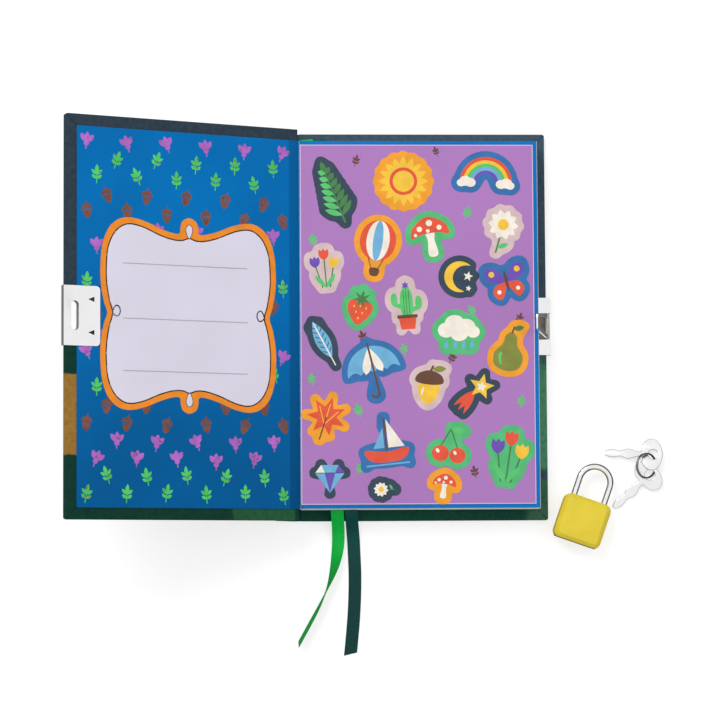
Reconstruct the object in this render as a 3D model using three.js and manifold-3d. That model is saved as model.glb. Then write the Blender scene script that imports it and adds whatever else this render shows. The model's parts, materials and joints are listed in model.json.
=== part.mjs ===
// Secret diary lying open on a table: a hardback with a hasp, a small padlock, two keys and two ribbons.
// Millimetres. X runs to the fore-edge, Y to the head of the book and Z up from the table.
// The origin is the middle of the back cover's underside.
import * as THREE from "three";
import { mergeVertices } from "three/addons/utils/BufferGeometryUtils.js";
import Module from "manifold-3d";

const wasm = await Module();
wasm.setup();

// Covers
const coverWidth = 116.6;
const coverHeight = 190;
const coverCorner = 1.2;
const boardGauge = 2;
const wrapGauge = 0.25;
const glueLine = 0.05;
const turnIn = 15;
const spineLap = 3;
const endpaperMargin = 5.6;
const coverThickness = boardGauge + 2 * (wrapGauge + glueLine);

// Joints between the covers and the block
const grooveWidth = 4.65;
const pivotDepth = 1.1;
const hingeGap = 0.4;
const openAngle = THREE.MathUtils.degToRad(155.3);

// Book block
const leafGauge = 0.3;
const leafGap = 0.05;
const foreSquare = 5.6;
const headSquare = 5.75;
const blockInset = 0.25;
const signatureGauge = 1.83;
const signaturesEachHalf = 4;
const blockClearance = 0.1;
const closingGap = 0.3;
const liningGauge = 0.3;
const sheetWidth = 113.5;
const sheetHeight = 174.7;

// Spine
const spineGauge = 2;
const spineHollow = 1.35;
const spineRise = 0.4;
const spineFall = 0.4;
const spineTongue = 0.7;
const spineLean = THREE.MathUtils.degToRad(34);

// Ribbons
const ribbonWidth = 6.2;
const ribbonGauge = 0.3;
const ribbonHeadReach = 1.8;
const ribbonGap = 0.05;
// How far right of the block's spine edge each ribbon leaves the head and the tail
const greenHead = 3.5;
const greenTail = 17.5;
const tealHead = 10.3;
const tealTail = 24.3;

// Hasp plate and staple bracket
const plateGauge = 0.5;
const plateWidth = 28.2;
const plateReach = 17.3;
const plateCorner = 2;
const plateRecessGap = 0.1;
const haspOverhang = 1;
const haspProud = 0.15;
const bracketOverhang = 2.2;
const slotWidth = 3.8;
const slotLength = 13.8;
const slotInset = 4.6;
const slotClearance = 0.4;
const toothInset = 12.9;
const toothSpread = 7.8;
const toothLength = 3.2;
const toothWidth = 2.6;
const bracketNotch = 13;
const notchReach = 6.4;

// Staple
const stapleLean = THREE.MathUtils.degToRad(16);
const stapleGauge = 0.8;
const stapleLength = 30.5;
const stapleFoot = 12;
const stapleTop = 8.2;
const stapleBar = 2.2;
const stapleLeg = 1.9;
const stapleCorner = 1.6;
const stapleSill = 4.2;
const stapleCurl = 0.85;
const stapleGap = 0.12;
const staplePinRadius = 0.6;
const staplePinLength = 16.5;

// Padlock
const lockWidth = 23.6;
const lockHeight = 22.6;
const lockThickness = 12;
const lockCorner = 1.1;
const lockBevel = 2.1;
const jacketWall = 1.3;
const jacketRoof = 1.5;
const coreThickness = 8.2;
const coreLip = 0.5;
const coreGap = 0.15;
const shackleWire = 3;
const shackleSpan = 15.4;
const shackleReach = 17.9;
const shackleBore = 3.3;
const shortLeg = 6.4;
const longLeg = 12.2;
const notchDepth = 0.8;
const notchDrop = 2.2;
const notchHeight = 3.6;
const springWire = 0.5;
const springCoils = 5;
const springLength = 4.6;
const springSide = 8;
const plugRadius = 3.1;
const plugLength = 9.5;
const plugGap = 0.08;
const keywayWidth = 1.3;
const keywayHeight = 4.6;
const keywayDepth = 7.5;
const latchThickness = 2.2;
const latchHeight = 1.5;
const latchLength = 4.4;
const latchBite = 0.6;
const latchTravel = 2.4;
const lockAside = 16;
const lockPast = 0.7;
const lockTurn = THREE.MathUtils.degToRad(-19.3);

// Keys and their ring
const keyGauge = 0.8;
const bowLength = 10.8;
const bowWidth = 16.2;
const keyHole = 5.2;
const keyHoleOffset = 0.9;
const bladeLength = 17.6;
const bladeWidth = 4.9;
const ringOuter = 12.6;
const ringWire = 0.7;
const ringPitch = 0.72;
const ringTurns = 2;
const ringSide = 8;
const ringTilt = THREE.MathUtils.degToRad(33);
const ringTiltHeading = THREE.MathUtils.degToRad(-4.8);
const ringEndAngle = THREE.MathUtils.degToRad(112);
const ringAside = 48.48;
const ringFromTail = 26.37;
const ringLevel = 3.83;

// Levels and lines that follow from the sizes above
const backTurnInLevel = coverThickness;
const backPaperTop = backTurnInLevel + glueLine + leafGauge;
const blockBase = backPaperTop + blockClearance;
const signaturePitch = signatureGauge + leafGap;
const backHalfBase = blockBase + leafGauge + leafGap;
const backHalfTop = backHalfBase + signaturesEachHalf * signaturePitch - leafGap;
const frontHalfBase = backHalfTop + ribbonGauge + 2 * ribbonGap;
const frontHalfTop = frontHalfBase + signaturesEachHalf * signaturePitch - leafGap;
const flyleafBase = frontHalfTop + leafGap;
const sheetBase = flyleafBase + leafGauge + leafGap;
const stackTop = sheetBase + leafGauge;
const frontTurnInLevel = stackTop + closingGap + leafGauge + glueLine;
const closedThickness = frontTurnInLevel + coverThickness;
const coverEdge = coverWidth / 2;
const pivotX = -coverEdge - grooveWidth;
const backPivotZ = backTurnInLevel + pivotDepth;
const frontPivotZ = frontTurnInLevel - pivotDepth;
const blockLeft = pivotX + blockInset;
const blockRight = coverEdge - foreSquare;
const blockHeight = coverHeight - 2 * headSquare;
const blockMiddle = (blockLeft + blockRight) / 2;
const paperTop = coverThickness + glueLine + leafGauge;
const leafTop = { hasp: paperTop + haspProud, bracket: paperTop };
const lockCentre = new THREE.Vector2(coverEdge + lockAside, -coverHeight / 2 - lockPast);
const ringCentre = new THREE.Vector3(coverEdge + ringAside, -coverHeight / 2 + ringFromTail, ringLevel);

// Colours and finishes
const slateWrap = { color: 0x3e505c, roughness: 0.45, metalness: 0 };
const greenWrap = { color: 0x2f6b4c, roughness: 0.45, metalness: 0 };
const greyboard = { color: 0x9a958c, roughness: 0.95, metalness: 0 };
const bluePaper = { color: 0x1a72b4, roughness: 0.6, metalness: 0 };
const purpleSheet = { color: 0xab78bb, roughness: 0.5, metalness: 0 };
const pagePaper = { color: 0xe9e6dd, roughness: 0.9, metalness: 0 };
const liningCloth = { color: 0xf1efe8, roughness: 0.95, metalness: 0 };
const chrome = { color: 0xd9dadc, roughness: 0.15, metalness: 1 };
const brass = { color: 0xb99a4d, roughness: 0.35, metalness: 0.9 };
const steel = { color: 0xa9abad, roughness: 0.35, metalness: 0.9 };
const yellowPlastic = { color: 0xe2ca34, roughness: 0.45, metalness: 0 };
const greenSatin = { color: 0x00a53c, roughness: 0.4, metalness: 0 };
const tealSatin = { color: 0x2b7370, roughness: 0.4, metalness: 0 };

// A closed geometry as a solid for booleans
function solidOf(geometry) {
  const bare = geometry.index ? geometry.toNonIndexed() : geometry.clone();
  bare.deleteAttribute("normal");
  bare.deleteAttribute("uv");
  const merged = mergeVertices(bare, 1e-4);
  return new wasm.Manifold(
    new wasm.Mesh({
      numProp: 3,
      vertProperties: merged.attributes.position.array,
      triVerts: new Uint32Array(merged.index.array),
    }),
  );
}

function geometryOf(solid) {
  const mesh = solid.getMesh();
  const positions = new Float32Array(mesh.numVert * 3);
  for (let i = 0; i < mesh.numVert; i += 1) {
    const start = i * mesh.numProp;
    positions.set(mesh.vertProperties.subarray(start, start + 3), i * 3);
  }
  return new THREE.BufferGeometry()
    .setAttribute("position", new THREE.BufferAttribute(positions, 3))
    .setIndex(new THREE.BufferAttribute(mesh.triVerts, 1));
}

function cut(geometry, ...tools) {
  const solid = tools.reduce((left, tool) => left.subtract(solidOf(tool)), solidOf(geometry));
  return geometryOf(solid);
}

function join(...geometries) {
  const [first, ...others] = geometries.map(solidOf);
  return geometryOf(others.reduce((sum, other) => sum.add(other), first));
}

function common(first, second) {
  return geometryOf(solidOf(first).intersect(solidOf(second)));
}

function boxBetween(low, high) {
  const size = high.map((value, i) => value - low[i]);
  const middle = high.map((value, i) => (value + low[i]) / 2);
  return new THREE.BoxGeometry(...size).translate(...middle);
}

function roundedRectangle(left, right, bottom, top, radius) {
  const shape = new THREE.Shape();
  shape.moveTo(left + radius, bottom);
  shape.lineTo(right - radius, bottom);
  shape.absarc(right - radius, bottom + radius, radius, -Math.PI / 2, 0, false);
  shape.lineTo(right, top - radius);
  shape.absarc(right - radius, top - radius, radius, 0, Math.PI / 2, false);
  shape.lineTo(left + radius, top);
  shape.absarc(left + radius, top - radius, radius, Math.PI / 2, Math.PI, false);
  shape.lineTo(left, bottom + radius);
  shape.absarc(left + radius, bottom + radius, radius, Math.PI, Math.PI * 1.5, false);
  return shape;
}

function polygon(points) {
  return new THREE.Shape(points.map(([x, y]) => new THREE.Vector2(x, y)));
}

// A shape drawn in XY, raised from one level to another
function prism(shape, from, to, curveSegments = 4) {
  const depth = to - from;
  return new THREE.ExtrudeGeometry(shape, { depth, curveSegments, bevelEnabled: false })
    .translate(0, 0, from);
}

// A shape drawn in XZ, run along Y and centred on Y = 0
function barAlongY(shape, length, curveSegments = 4) {
  return new THREE.ExtrudeGeometry(shape, { depth: length, curveSegments, bevelEnabled: false })
    .rotateX(Math.PI / 2)
    .translate(0, length / 2, 0);
}

function cylinderAlongY(radius, length, sides) {
  return new THREE.CylinderGeometry(radius, radius, length, sides);
}

function mesh(name, geometry, finish) {
  const made = new THREE.Mesh(geometry, new THREE.MeshStandardMaterial(finish));
  made.name = name;
  return made;
}

// Covers, drawn with the outer face at Z = 0, the middle of the board at X = 0 and the spine towards -X

// The fitting at the fore-edge: the room it takes in the board, paper and cloth
function fittingRecess(fitting) {
  const inner = coverEdge - plateReach - plateRecessGap;
  const half = plateWidth / 2 + plateRecessGap;
  const beyond = coverEdge + 1;
  const upperFloor = leafTop[fitting] - plateGauge - plateRecessGap;
  const upper = boxBetween([inner, -half, upperFloor], [beyond, half, paperTop + 1]);
  const lower = boxBetween([inner, -half, -1], [beyond, half, plateGauge + plateRecessGap]);
  if (fitting === "bracket") return [upper, lower];
  const slotX = coverEdge - slotInset;
  const halfWidth = slotWidth / 2 + slotClearance;
  const halfLength = slotLength / 2 + slotClearance;
  const slot = boxBetween(
    [slotX - halfWidth, -halfLength, -1],
    [slotX + halfWidth, halfLength, coverThickness + 1],
  );
  return [upper, lower, slot];
}

function boardGeometry(fitting) {
  const half = coverEdge - wrapGauge - glueLine;
  const halfHeight = coverHeight / 2 - wrapGauge - glueLine;
  const base = wrapGauge + glueLine;
  const board = boxBetween([-half, -halfHeight, base], [half, halfHeight, base + boardGauge]);
  return cut(board, ...fittingRecess(fitting));
}

// The printed paper over the board: outer face, edges, turn-ins and the strip that bends in the groove
function wrapGeometry(fitting) {
  const halfHeight = coverHeight / 2;
  const outline = roundedRectangle(-coverEdge, coverEdge, -halfHeight, halfHeight, coverCorner);
  const outer = prism(outline, 0, coverThickness);
  const cavity = boxBetween(
    [-coverEdge + wrapGauge, -halfHeight + wrapGauge, wrapGauge],
    [coverEdge - wrapGauge, halfHeight - wrapGauge, coverThickness - wrapGauge],
  );
  const window = boxBetween(
    [-coverEdge + spineLap, -halfHeight + turnIn, wrapGauge],
    [coverEdge - turnIn, halfHeight - turnIn, coverThickness + 1],
  );
  const strip = boxBetween(
    [-coverEdge - grooveWidth + hingeGap, -halfHeight, coverThickness - wrapGauge],
    [-coverEdge + coverCorner, halfHeight, coverThickness],
  );
  const shell = join(cut(outer, cavity, window), cut(strip, cavity));
  return cut(shell, ...fittingRecess(fitting));
}

// The endpaper's glued half, with the step that sinks between the turn-ins
function pastedownGeometry(fitting) {
  const halfHeight = coverHeight / 2;
  const sheet = boxBetween(
    [-coverEdge - grooveWidth + hingeGap, -halfHeight + endpaperMargin, coverThickness + glueLine],
    [coverEdge - endpaperMargin, halfHeight - endpaperMargin, paperTop],
  );
  const step = boxBetween(
    [-coverEdge + spineLap + glueLine, -halfHeight + turnIn + glueLine, coverThickness - wrapGauge],
    [coverEdge - turnIn - glueLine, halfHeight - turnIn - glueLine, paperTop - glueLine],
  );
  return cut(join(sheet, step), ...fittingRecess(fitting));
}

// A plate folded round the fore-edge of a board, its leaves let into both faces
function foldedPlate(fitting, overhang) {
  const inner = coverEdge - plateReach;
  const outer = coverEdge + overhang;
  const top = leafTop[fitting];
  const profile = polygon([
    [inner, 0],
    [outer, 0],
    [outer, top],
    [inner, top],
    [inner, top - plateGauge],
    [outer - plateGauge, top - plateGauge],
    [outer - plateGauge, plateGauge],
    [inner, plateGauge],
  ]);
  const folded = barAlongY(profile, plateWidth);
  const half = plateWidth / 2;
  const outline = roundedRectangle(inner, outer + plateCorner, -half, half, plateCorner);
  return common(folded, prism(outline, -1, top + 1));
}

function toothHole(side) {
  const tip = coverEdge - toothInset + toothLength / 2;
  const base = tip - toothLength;
  const middle = side * toothSpread;
  const outline = polygon([
    [tip, middle],
    [base, middle + toothWidth / 2],
    [base, middle - toothWidth / 2],
  ]);
  return prism(outline, coverThickness - wrapGauge, leafTop.hasp + 1);
}

// The tooth folded up out of the plate and clinched beside its hole
function haspPlateGeometry() {
  const slotX = coverEdge - slotInset;
  const slot = roundedRectangle(
    slotX - slotWidth / 2,
    slotX + slotWidth / 2,
    -slotLength / 2,
    slotLength / 2,
    slotWidth / 2 - glueLine,
  );
  const plate = foldedPlate("hasp", haspOverhang);
  return cut(plate, prism(slot, -1, leafTop.hasp + 1), toothHole(1), toothHole(-1));
}

function stapleBracketGeometry() {
  const plate = foldedPlate("bracket", bracketOverhang);
  const half = bracketNotch / 2;
  const notch = boxBetween(
    [coverEdge - notchReach, -half, -1],
    [coverEdge + bracketOverhang + 1, half, leafTop.bracket + 1],
  );
  return cut(plate, notch);
}

function cover(prefix, fitting, fittingMesh, finish) {
  const group = new THREE.Group();
  group.add(mesh(prefix + "_board", boardGeometry(fitting), greyboard));
  group.add(mesh(prefix + "_wrap", wrapGeometry(fitting), finish));
  group.add(mesh(prefix + "_pastedown", pastedownGeometry(fitting), bluePaper));
  group.add(fittingMesh);
  return group;
}

// Front cover: built closed, then swung open about the joint at the top of the block
function frontCover() {
  const plate = mesh("hasp_plate", haspPlateGeometry(), chrome);
  const closed = cover("front_cover", "hasp", plate, greenWrap);
  closed.rotation.x = Math.PI;
  closed.position.set(-pivotX, 0, closedThickness - frontPivotZ);
  const hinge = new THREE.Group();
  hinge.position.set(pivotX, 0, frontPivotZ);
  hinge.rotation.y = -openAngle;
  hinge.add(closed);
  return hinge;
}

// Staple: a flat strap loop on a pin that is held in the fold of the bracket
const staplePinX = coverEdge + stapleCurl + stapleGap;
const staplePinZ = leafTop.bracket / 2;

function stapleGeometry() {
  const foot = stapleFoot / 2;
  const head = stapleTop / 2;
  const outline = new THREE.Shape();
  outline.moveTo(-foot, 0);
  outline.lineTo(foot, 0);
  outline.lineTo(foot, stapleSill);
  outline.lineTo(head, stapleLength - stapleCorner);
  outline.quadraticCurveTo(head, stapleLength, head - stapleCorner, stapleLength);
  outline.lineTo(-head + stapleCorner, stapleLength);
  outline.quadraticCurveTo(-head, stapleLength, -head, stapleLength - stapleCorner);
  outline.lineTo(-foot, stapleSill);
  const eye = polygon([
    [-foot + stapleLeg, stapleSill],
    [foot - stapleLeg, stapleSill],
    [head - stapleLeg, stapleLength - stapleBar],
    [-head + stapleLeg, stapleLength - stapleBar],
  ]);
  const half = stapleGauge / 2;
  const strap = cut(prism(outline, -half, half), prism(eye, -stapleGauge, stapleGauge));
  strap.rotateX(Math.PI / 2).rotateZ(Math.PI / 2);
  const pin = cylinderAlongY(staplePinRadius, staplePinLength, 12);
  const curl = cylinderAlongY(stapleCurl, stapleFoot, 16);
  return join(strap, pin, curl);
}

function staple() {
  const loop = mesh("staple", stapleGeometry(), chrome);
  loop.position.set(staplePinX, 0, staplePinZ);
  loop.rotation.y = -stapleLean;
  return loop;
}

// Book block: folded signatures, endpapers, the sheet of stickers and the lining glued on the folds
function signatureGeometry(base) {
  const radius = signatureGauge / 2;
  const profile = new THREE.Shape();
  profile.moveTo(blockRight, base);
  profile.lineTo(blockRight, base + signatureGauge);
  profile.lineTo(blockLeft + radius, base + signatureGauge);
  profile.absarc(blockLeft + radius, base + radius, radius, Math.PI / 2, Math.PI * 1.5, false);
  return barAlongY(profile, blockHeight);
}

function leafGeometry(width, height, base) {
  const half = height / 2;
  return boxBetween([blockLeft, -half, base], [blockLeft + width, half, base + leafGauge]);
}

function bookBlock() {
  const group = new THREE.Group();
  const halves = [
    { base: frontHalfBase, first: 1 },
    { base: backHalfBase, first: signaturesEachHalf + 1 },
  ];
  for (const { base, first } of halves) {
    for (let k = 0; k < signaturesEachHalf; k += 1) {
      const level = base + (signaturesEachHalf - 1 - k) * signaturePitch;
      group.add(mesh("signature_" + (first + k), signatureGeometry(level), pagePaper));
    }
  }
  const leafWidth = blockRight - blockLeft;
  group.add(mesh("back_flyleaf", leafGeometry(leafWidth, blockHeight, blockBase), bluePaper));
  group.add(mesh("front_flyleaf", leafGeometry(leafWidth, blockHeight, flyleafBase), bluePaper));
  group.add(mesh("sticker_sheet", leafGeometry(sheetWidth, sheetHeight, sheetBase), purpleSheet));
  const lining = boxBetween(
    [blockLeft - glueLine - liningGauge, -blockHeight / 2, blockBase],
    [blockLeft - glueLine, blockHeight / 2, frontHalfTop],
  );
  group.add(mesh("spine_lining", lining, liningCloth));
  return group;
}

// Spine: a board in its own fold of the wrap, hollow behind the block and leaning out while the book is open
function spine() {
  const inner = -spineHollow;
  const outer = inner - spineGauge - 2 * (wrapGauge + glueLine);
  const base = -spineFall;
  const top = frontPivotZ - backPivotZ + spineRise;
  const half = coverHeight / 2;
  const skin = wrapGauge + glueLine;
  const board = boxBetween(
    [outer + skin, -half + skin, base + skin],
    [inner - skin, half - skin, top - skin],
  );
  const cavity = boxBetween(
    [outer + wrapGauge, -half + wrapGauge, base + wrapGauge],
    [inner - wrapGauge, half - wrapGauge, top - wrapGauge],
  );
  const window = boxBetween(
    [inner - spineGauge / 2, -half + turnIn, base + spineLap],
    [inner + 1, half - turnIn, top - spineLap],
  );
  const folded = boxBetween([outer, -half, base], [inner, half, top]);
  const tongue = boxBetween([inner - wrapGauge, -half, base], [-spineTongue, half, base + wrapGauge]);
  const hinge = new THREE.Group();
  hinge.position.set(pivotX, 0, backPivotZ);
  hinge.rotation.y = -spineLean;
  hinge.add(mesh("spine_board", board, greyboard));
  hinge.add(mesh("spine_wrap", join(cut(folded, cavity, window), tongue), slateWrap));
  return hinge;
}

// Ribbons: the length between the pages, then the free end that leaves the tail of the block
const ribbonLevel = backHalfTop + ribbonGap + ribbonGauge / 2;
const blockTail = -blockHeight / 2;
const ribbons = {
  green: {
    head: blockLeft + greenHead,
    exit: blockLeft + greenTail,
    // Each point: right of the exit, past the pages, height, and degrees that the ribbon has turned on edge
    route: [
      [0, 0.4, ribbonLevel, 0],
      [0.1, 2.25, 10.6, 0],
      [0.3, 4.55, 8.9, 0],
      [0.5, 6.75, 6.7, 2],
      [0.7, 9.15, 4.6, 5],
      [0.8, 11.95, 3, 9],
      [0.8, 15.35, 2.3, 15],
      [0.5, 19.15, 2.1, 24],
      [-0.1, 23.15, 2.3, 36],
      [-1, 27.35, 2.7, 50],
      [-2.2, 31.55, 3.1, 64],
      [-3.7, 35.85, 3.3, 78],
      [-5.5, 40.25, 3.4, 88],
      [-7.4, 44.35, 3.3, 84],
      [-9.3, 48.25, 3.3, 80],
      [-11.4, 52.15, 3.3, 78],
      [-13.5, 55.95, 3.3, 77],
      [-15.5, 59.55, 3.3, 77],
      [-17.5, 63.15, 3.3, 77],
      [-19.4, 66.55, 3.3, 77],
    ],
    finish: greenSatin,
  },
  teal: {
    head: blockLeft + tealHead,
    exit: blockLeft + tealTail,
    route: [
      [0, 0.4, ribbonLevel, 0],
      [0.2, 2.25, 10.4, 0],
      [0.4, 4.55, 8.3, 0],
      [0.6, 6.75, 5.7, 0],
      [0.9, 9.15, 3.4, 0],
      [1.2, 11.95, 1.7, 0],
      [1.5, 15.55, 0.8, 0],
      [1.7, 19.75, 0.4, 0],
      [1.9, 24.65, 0.3, 0],
      [2.1, 29.75, 0.3, 0],
      [2.1, 35.25, 0.3, 0],
      [2, 40.75, 0.3, 0],
      [1.8, 45.75, 0.3, 0],
      [1.5, 50.95, 0.3, 0],
      [1.1, 56.15, 0.3, 0],
      [0.6, 61.55, 0.3, 0],
      [0.1, 66.75, 0.3, 0],
      [-0.4, 71.35, 0.3, 0],
    ],
    finish: tealSatin,
  },
};

function ribbonInsideGeometry({ head, exit }) {
  const half = ribbonWidth / 2;
  const outline = polygon([
    [exit - half, blockTail],
    [exit + half, blockTail],
    [head + half, blockHeight / 2 + ribbonHeadReach],
    [head - half, blockHeight / 2 + ribbonHeadReach],
  ]);
  return prism(outline, ribbonLevel - ribbonGauge / 2, ribbonLevel + ribbonGauge / 2);
}

// A flat strip carried along a route, its section turned about the route by each point's own angle
function ribbonGeometry({ exit, route }) {
  const centres = route.map(([x, past, z]) => new THREE.Vector3(exit + x, blockTail - past, z));
  const up = new THREE.Vector3(0, 0, 1);
  const corners = [];
  centres.forEach((centre, i) => {
    const before = centres[Math.max(i - 1, 0)];
    const after = centres[Math.min(i + 1, centres.length - 1)];
    const along = after.clone().sub(before).normalize();
    const level = along.clone().cross(up).normalize();
    const turned = level.applyAxisAngle(along, THREE.MathUtils.degToRad(route[i][3]));
    const across = turned.clone().multiplyScalar(ribbonWidth / 2);
    const through = along.clone().cross(turned).multiplyScalar(ribbonGauge / 2);
    for (const [a, b] of [[1, 1], [-1, 1], [-1, -1], [1, -1]]) {
      const corner = centre.clone().addScaledVector(across, a).addScaledVector(through, b);
      corners.push(corner.x, corner.y, corner.z);
    }
  });
  const faces = [];
  for (let i = 0; i < centres.length - 1; i += 1) {
    for (let side = 0; side < 4; side += 1) {
      const a = 4 * i + side;
      const b = 4 * i + ((side + 1) % 4);
      // The two broad sides split along the same diagonal, so the strip keeps its gauge where it twists
      if (side === 2) {
        faces.push(a, b, a + 4, b, b + 4, a + 4);
      } else {
        faces.push(a, b, b + 4, a, b + 4, a + 4);
      }
    }
  }
  const last = 4 * (centres.length - 1);
  faces.push(0, 2, 1, 0, 3, 2, last, last + 1, last + 2, last, last + 2, last + 3);
  return new THREE.BufferGeometry()
    .setAttribute("position", new THREE.BufferAttribute(new Float32Array(corners), 3))
    .setIndex(faces);
}

function ribbonPieces() {
  const group = new THREE.Group();
  for (const [colour, ribbon] of Object.entries(ribbons)) {
    const inside = ribbonInsideGeometry(ribbon);
    group.add(mesh(colour + "_ribbon_inside", inside, ribbon.finish));
    group.add(mesh(colour + "_ribbon", ribbonGeometry(ribbon), ribbon.finish));
  }
  return group;
}

// Padlock, drawn with its middle at X = Y = 0, its back at Z = 0 and its shackle towards +Y
const lockTop = lockHeight / 2;
const lockMiddle = lockThickness / 2;
const coreHalfWidth = lockWidth / 2 - jacketWall - coreGap;
const coreTop = lockTop - jacketRoof - coreGap;
const coreBase = -lockTop + coreLip;
const legX = shackleSpan / 2;

function boreAlongY(x, radius, from, to) {
  return cylinderAlongY(radius, to - from, 20).translate(x, (from + to) / 2, lockMiddle);
}

function jacketGeometry() {
  const halfWidth = lockWidth / 2 - lockBevel;
  const halfHeight = lockTop - lockBevel;
  const outline = roundedRectangle(-halfWidth, halfWidth, -halfHeight, halfHeight, lockCorner);
  const body = new THREE.ExtrudeGeometry(outline, {
    depth: lockThickness - 2 * lockBevel,
    curveSegments: 4,
    bevelThickness: lockBevel,
    bevelSize: lockBevel,
    bevelSegments: 4,
  }).translate(0, 0, lockBevel);
  const halfCore = coreThickness / 2 + coreGap;
  const cavity = boxBetween(
    [-coreHalfWidth - coreGap, -lockTop - 1, lockMiddle - halfCore],
    [coreHalfWidth + coreGap, coreTop + coreGap, lockMiddle + halfCore],
  );
  const bores = [-legX, legX].map((x) => boreAlongY(x, shackleBore / 2, 0, lockTop + 1));
  return cut(body, cavity, ...bores);
}

function coreGeometry() {
  const halfCore = coreThickness / 2;
  const block = boxBetween(
    [-coreHalfWidth, coreBase, lockMiddle - halfCore],
    [coreHalfWidth, coreTop, lockMiddle + halfCore],
  );
  const longBoreEnd = lockTop - longLeg - springLength - coreGap;
  const longBore = boreAlongY(-legX, shackleBore / 2, longBoreEnd, coreTop + 1);
  const shortBore = boreAlongY(legX, shackleBore / 2, lockTop - shortLeg - coreGap, coreTop + 1);
  const plugBore = boreAlongY(0, plugRadius + plugGap, coreBase - 1, coreBase + plugLength + coreGap);
  return cut(block, longBore, shortBore, plugBore, latchPocket());
}

// The latch slides across under the roof of the core, its nose in the top of the shackle's notch
const latchNose = legX - shackleWire / 2 + latchBite;
const latchHigh = lockTop - notchDrop - coreGap;
const latchLow = latchHigh - latchHeight;

function latchPocket() {
  const halfGap = latchThickness / 2 + coreGap;
  return boxBetween(
    [latchNose - latchLength - latchTravel - coreGap, latchLow - coreGap, lockMiddle - halfGap],
    [latchNose + coreGap, latchHigh + coreGap, lockMiddle + halfGap],
  );
}

function latchGeometry() {
  const profile = polygon([
    [latchNose - latchLength, latchLow],
    [latchNose, latchLow],
    [latchNose, (latchLow + latchHigh) / 2],
    [latchNose - latchHeight / 2, latchHigh],
    [latchNose - latchLength, latchHigh],
  ]);
  return prism(profile, lockMiddle - latchThickness / 2, lockMiddle + latchThickness / 2);
}

// The shackle's centre line: up the long leg, round the crown and down the short leg
function shackleGeometry() {
  const crown = new THREE.CurvePath();
  const shoulder = lockTop + shackleReach - shackleWire / 2 - legX;
  const foot = new THREE.Vector3(-legX, lockTop - longLeg, lockMiddle);
  const rise = new THREE.Vector3(-legX, shoulder, lockMiddle);
  const fall = new THREE.Vector3(legX, shoulder, lockMiddle);
  const toe = new THREE.Vector3(legX, lockTop - shortLeg, lockMiddle);
  const bend = 0.5523 * legX;
  const peak = new THREE.Vector3(0, shoulder + legX, lockMiddle);
  crown.add(new THREE.LineCurve3(foot, rise));
  crown.add(
    new THREE.CubicBezierCurve3(
      rise,
      rise.clone().setY(shoulder + bend),
      peak.clone().setX(-bend),
      peak,
    ),
  );
  crown.add(
    new THREE.CubicBezierCurve3(
      peak,
      peak.clone().setX(bend),
      fall.clone().setY(shoulder + bend),
      fall,
    ),
  );
  crown.add(new THREE.LineCurve3(fall, toe));
  const section = new THREE.Shape().absarc(0, 0, shackleWire / 2, 0, Math.PI * 2);
  const wire = new THREE.ExtrudeGeometry(section, {
    steps: 44,
    curveSegments: 6,
    extrudePath: crown,
    bevelEnabled: false,
  });
  const notchTop = lockTop - notchDrop;
  const notch = boxBetween(
    [legX - shackleWire, notchTop - notchHeight, 0],
    [legX - shackleWire / 2 + notchDepth, notchTop, lockThickness],
  );
  return cut(wire, notch);
}

// A right-handed coil of round wire about Y, from a foot at Y = 0 up
function coilGeometry(radius, wire, turns, pitch, stepsPerTurn, sides) {
  const steps = Math.round(turns * stepsPerTurn);
  const positions = [];
  const slope = Math.atan2(pitch, 2 * Math.PI * radius);
  for (let i = 0; i <= steps; i += 1) {
    const angle = (i / stepsPerTurn) * Math.PI * 2;
    const out = new THREE.Vector3(Math.cos(angle), 0, -Math.sin(angle));
    const round = new THREE.Vector3(-Math.sin(angle), 0, -Math.cos(angle));
    const lift = new THREE.Vector3(0, Math.cos(slope), 0).addScaledVector(round, -Math.sin(slope));
    const centre = out.clone().multiplyScalar(radius).setY((i / stepsPerTurn) * pitch);
    for (let k = 0; k < sides; k += 1) {
      const turn = (k / sides) * Math.PI * 2;
      const point = centre
        .clone()
        .addScaledVector(out, (Math.cos(turn) * wire) / 2)
        .addScaledVector(lift, (Math.sin(turn) * wire) / 2);
      positions.push(point.x, point.y, point.z);
    }
  }
  const faces = [];
  for (let i = 0; i < steps; i += 1) {
    for (let k = 0; k < sides; k += 1) {
      const a = i * sides + k;
      const b = i * sides + ((k + 1) % sides);
      faces.push(a, b + sides, b, a, a + sides, b + sides);
    }
  }
  const last = steps * sides;
  for (let k = 1; k < sides - 1; k += 1) {
    faces.push(0, k, k + 1, last, last + k + 1, last + k);
  }
  return new THREE.BufferGeometry()
    .setAttribute("position", new THREE.BufferAttribute(new Float32Array(positions), 3))
    .setIndex(faces);
}

function springGeometry() {
  const radius = shackleWire / 2 - springWire / 2;
  const pitch = (springLength - springWire - 2 * coreGap) / springCoils;
  const base = lockTop - longLeg - springLength + springWire / 2 + coreGap;
  return coilGeometry(radius, springWire, springCoils, pitch, springSide, 5)
    .translate(-legX, base, lockMiddle);
}

function plugGeometry() {
  const plug = boreAlongY(0, plugRadius, coreBase, coreBase + plugLength);
  const keyway = boxBetween(
    [-keywayWidth / 2, coreBase - 1, lockMiddle - keywayHeight / 2],
    [keywayWidth / 2, coreBase + keywayDepth, lockMiddle + keywayHeight / 2],
  );
  return cut(plug, keyway);
}

function padlock() {
  const group = new THREE.Group();
  group.add(mesh("padlock_jacket", jacketGeometry(), yellowPlastic));
  group.add(mesh("padlock_core", coreGeometry(), brass));
  group.add(mesh("shackle", shackleGeometry(), chrome));
  group.add(mesh("shackle_spring", springGeometry(), steel));
  group.add(mesh("lock_plug", plugGeometry(), brass));
  group.add(mesh("latch", latchGeometry(), steel));
  group.position.set(lockCentre.x, lockCentre.y, 0);
  group.rotation.z = lockTurn;
  return group;
}

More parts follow.
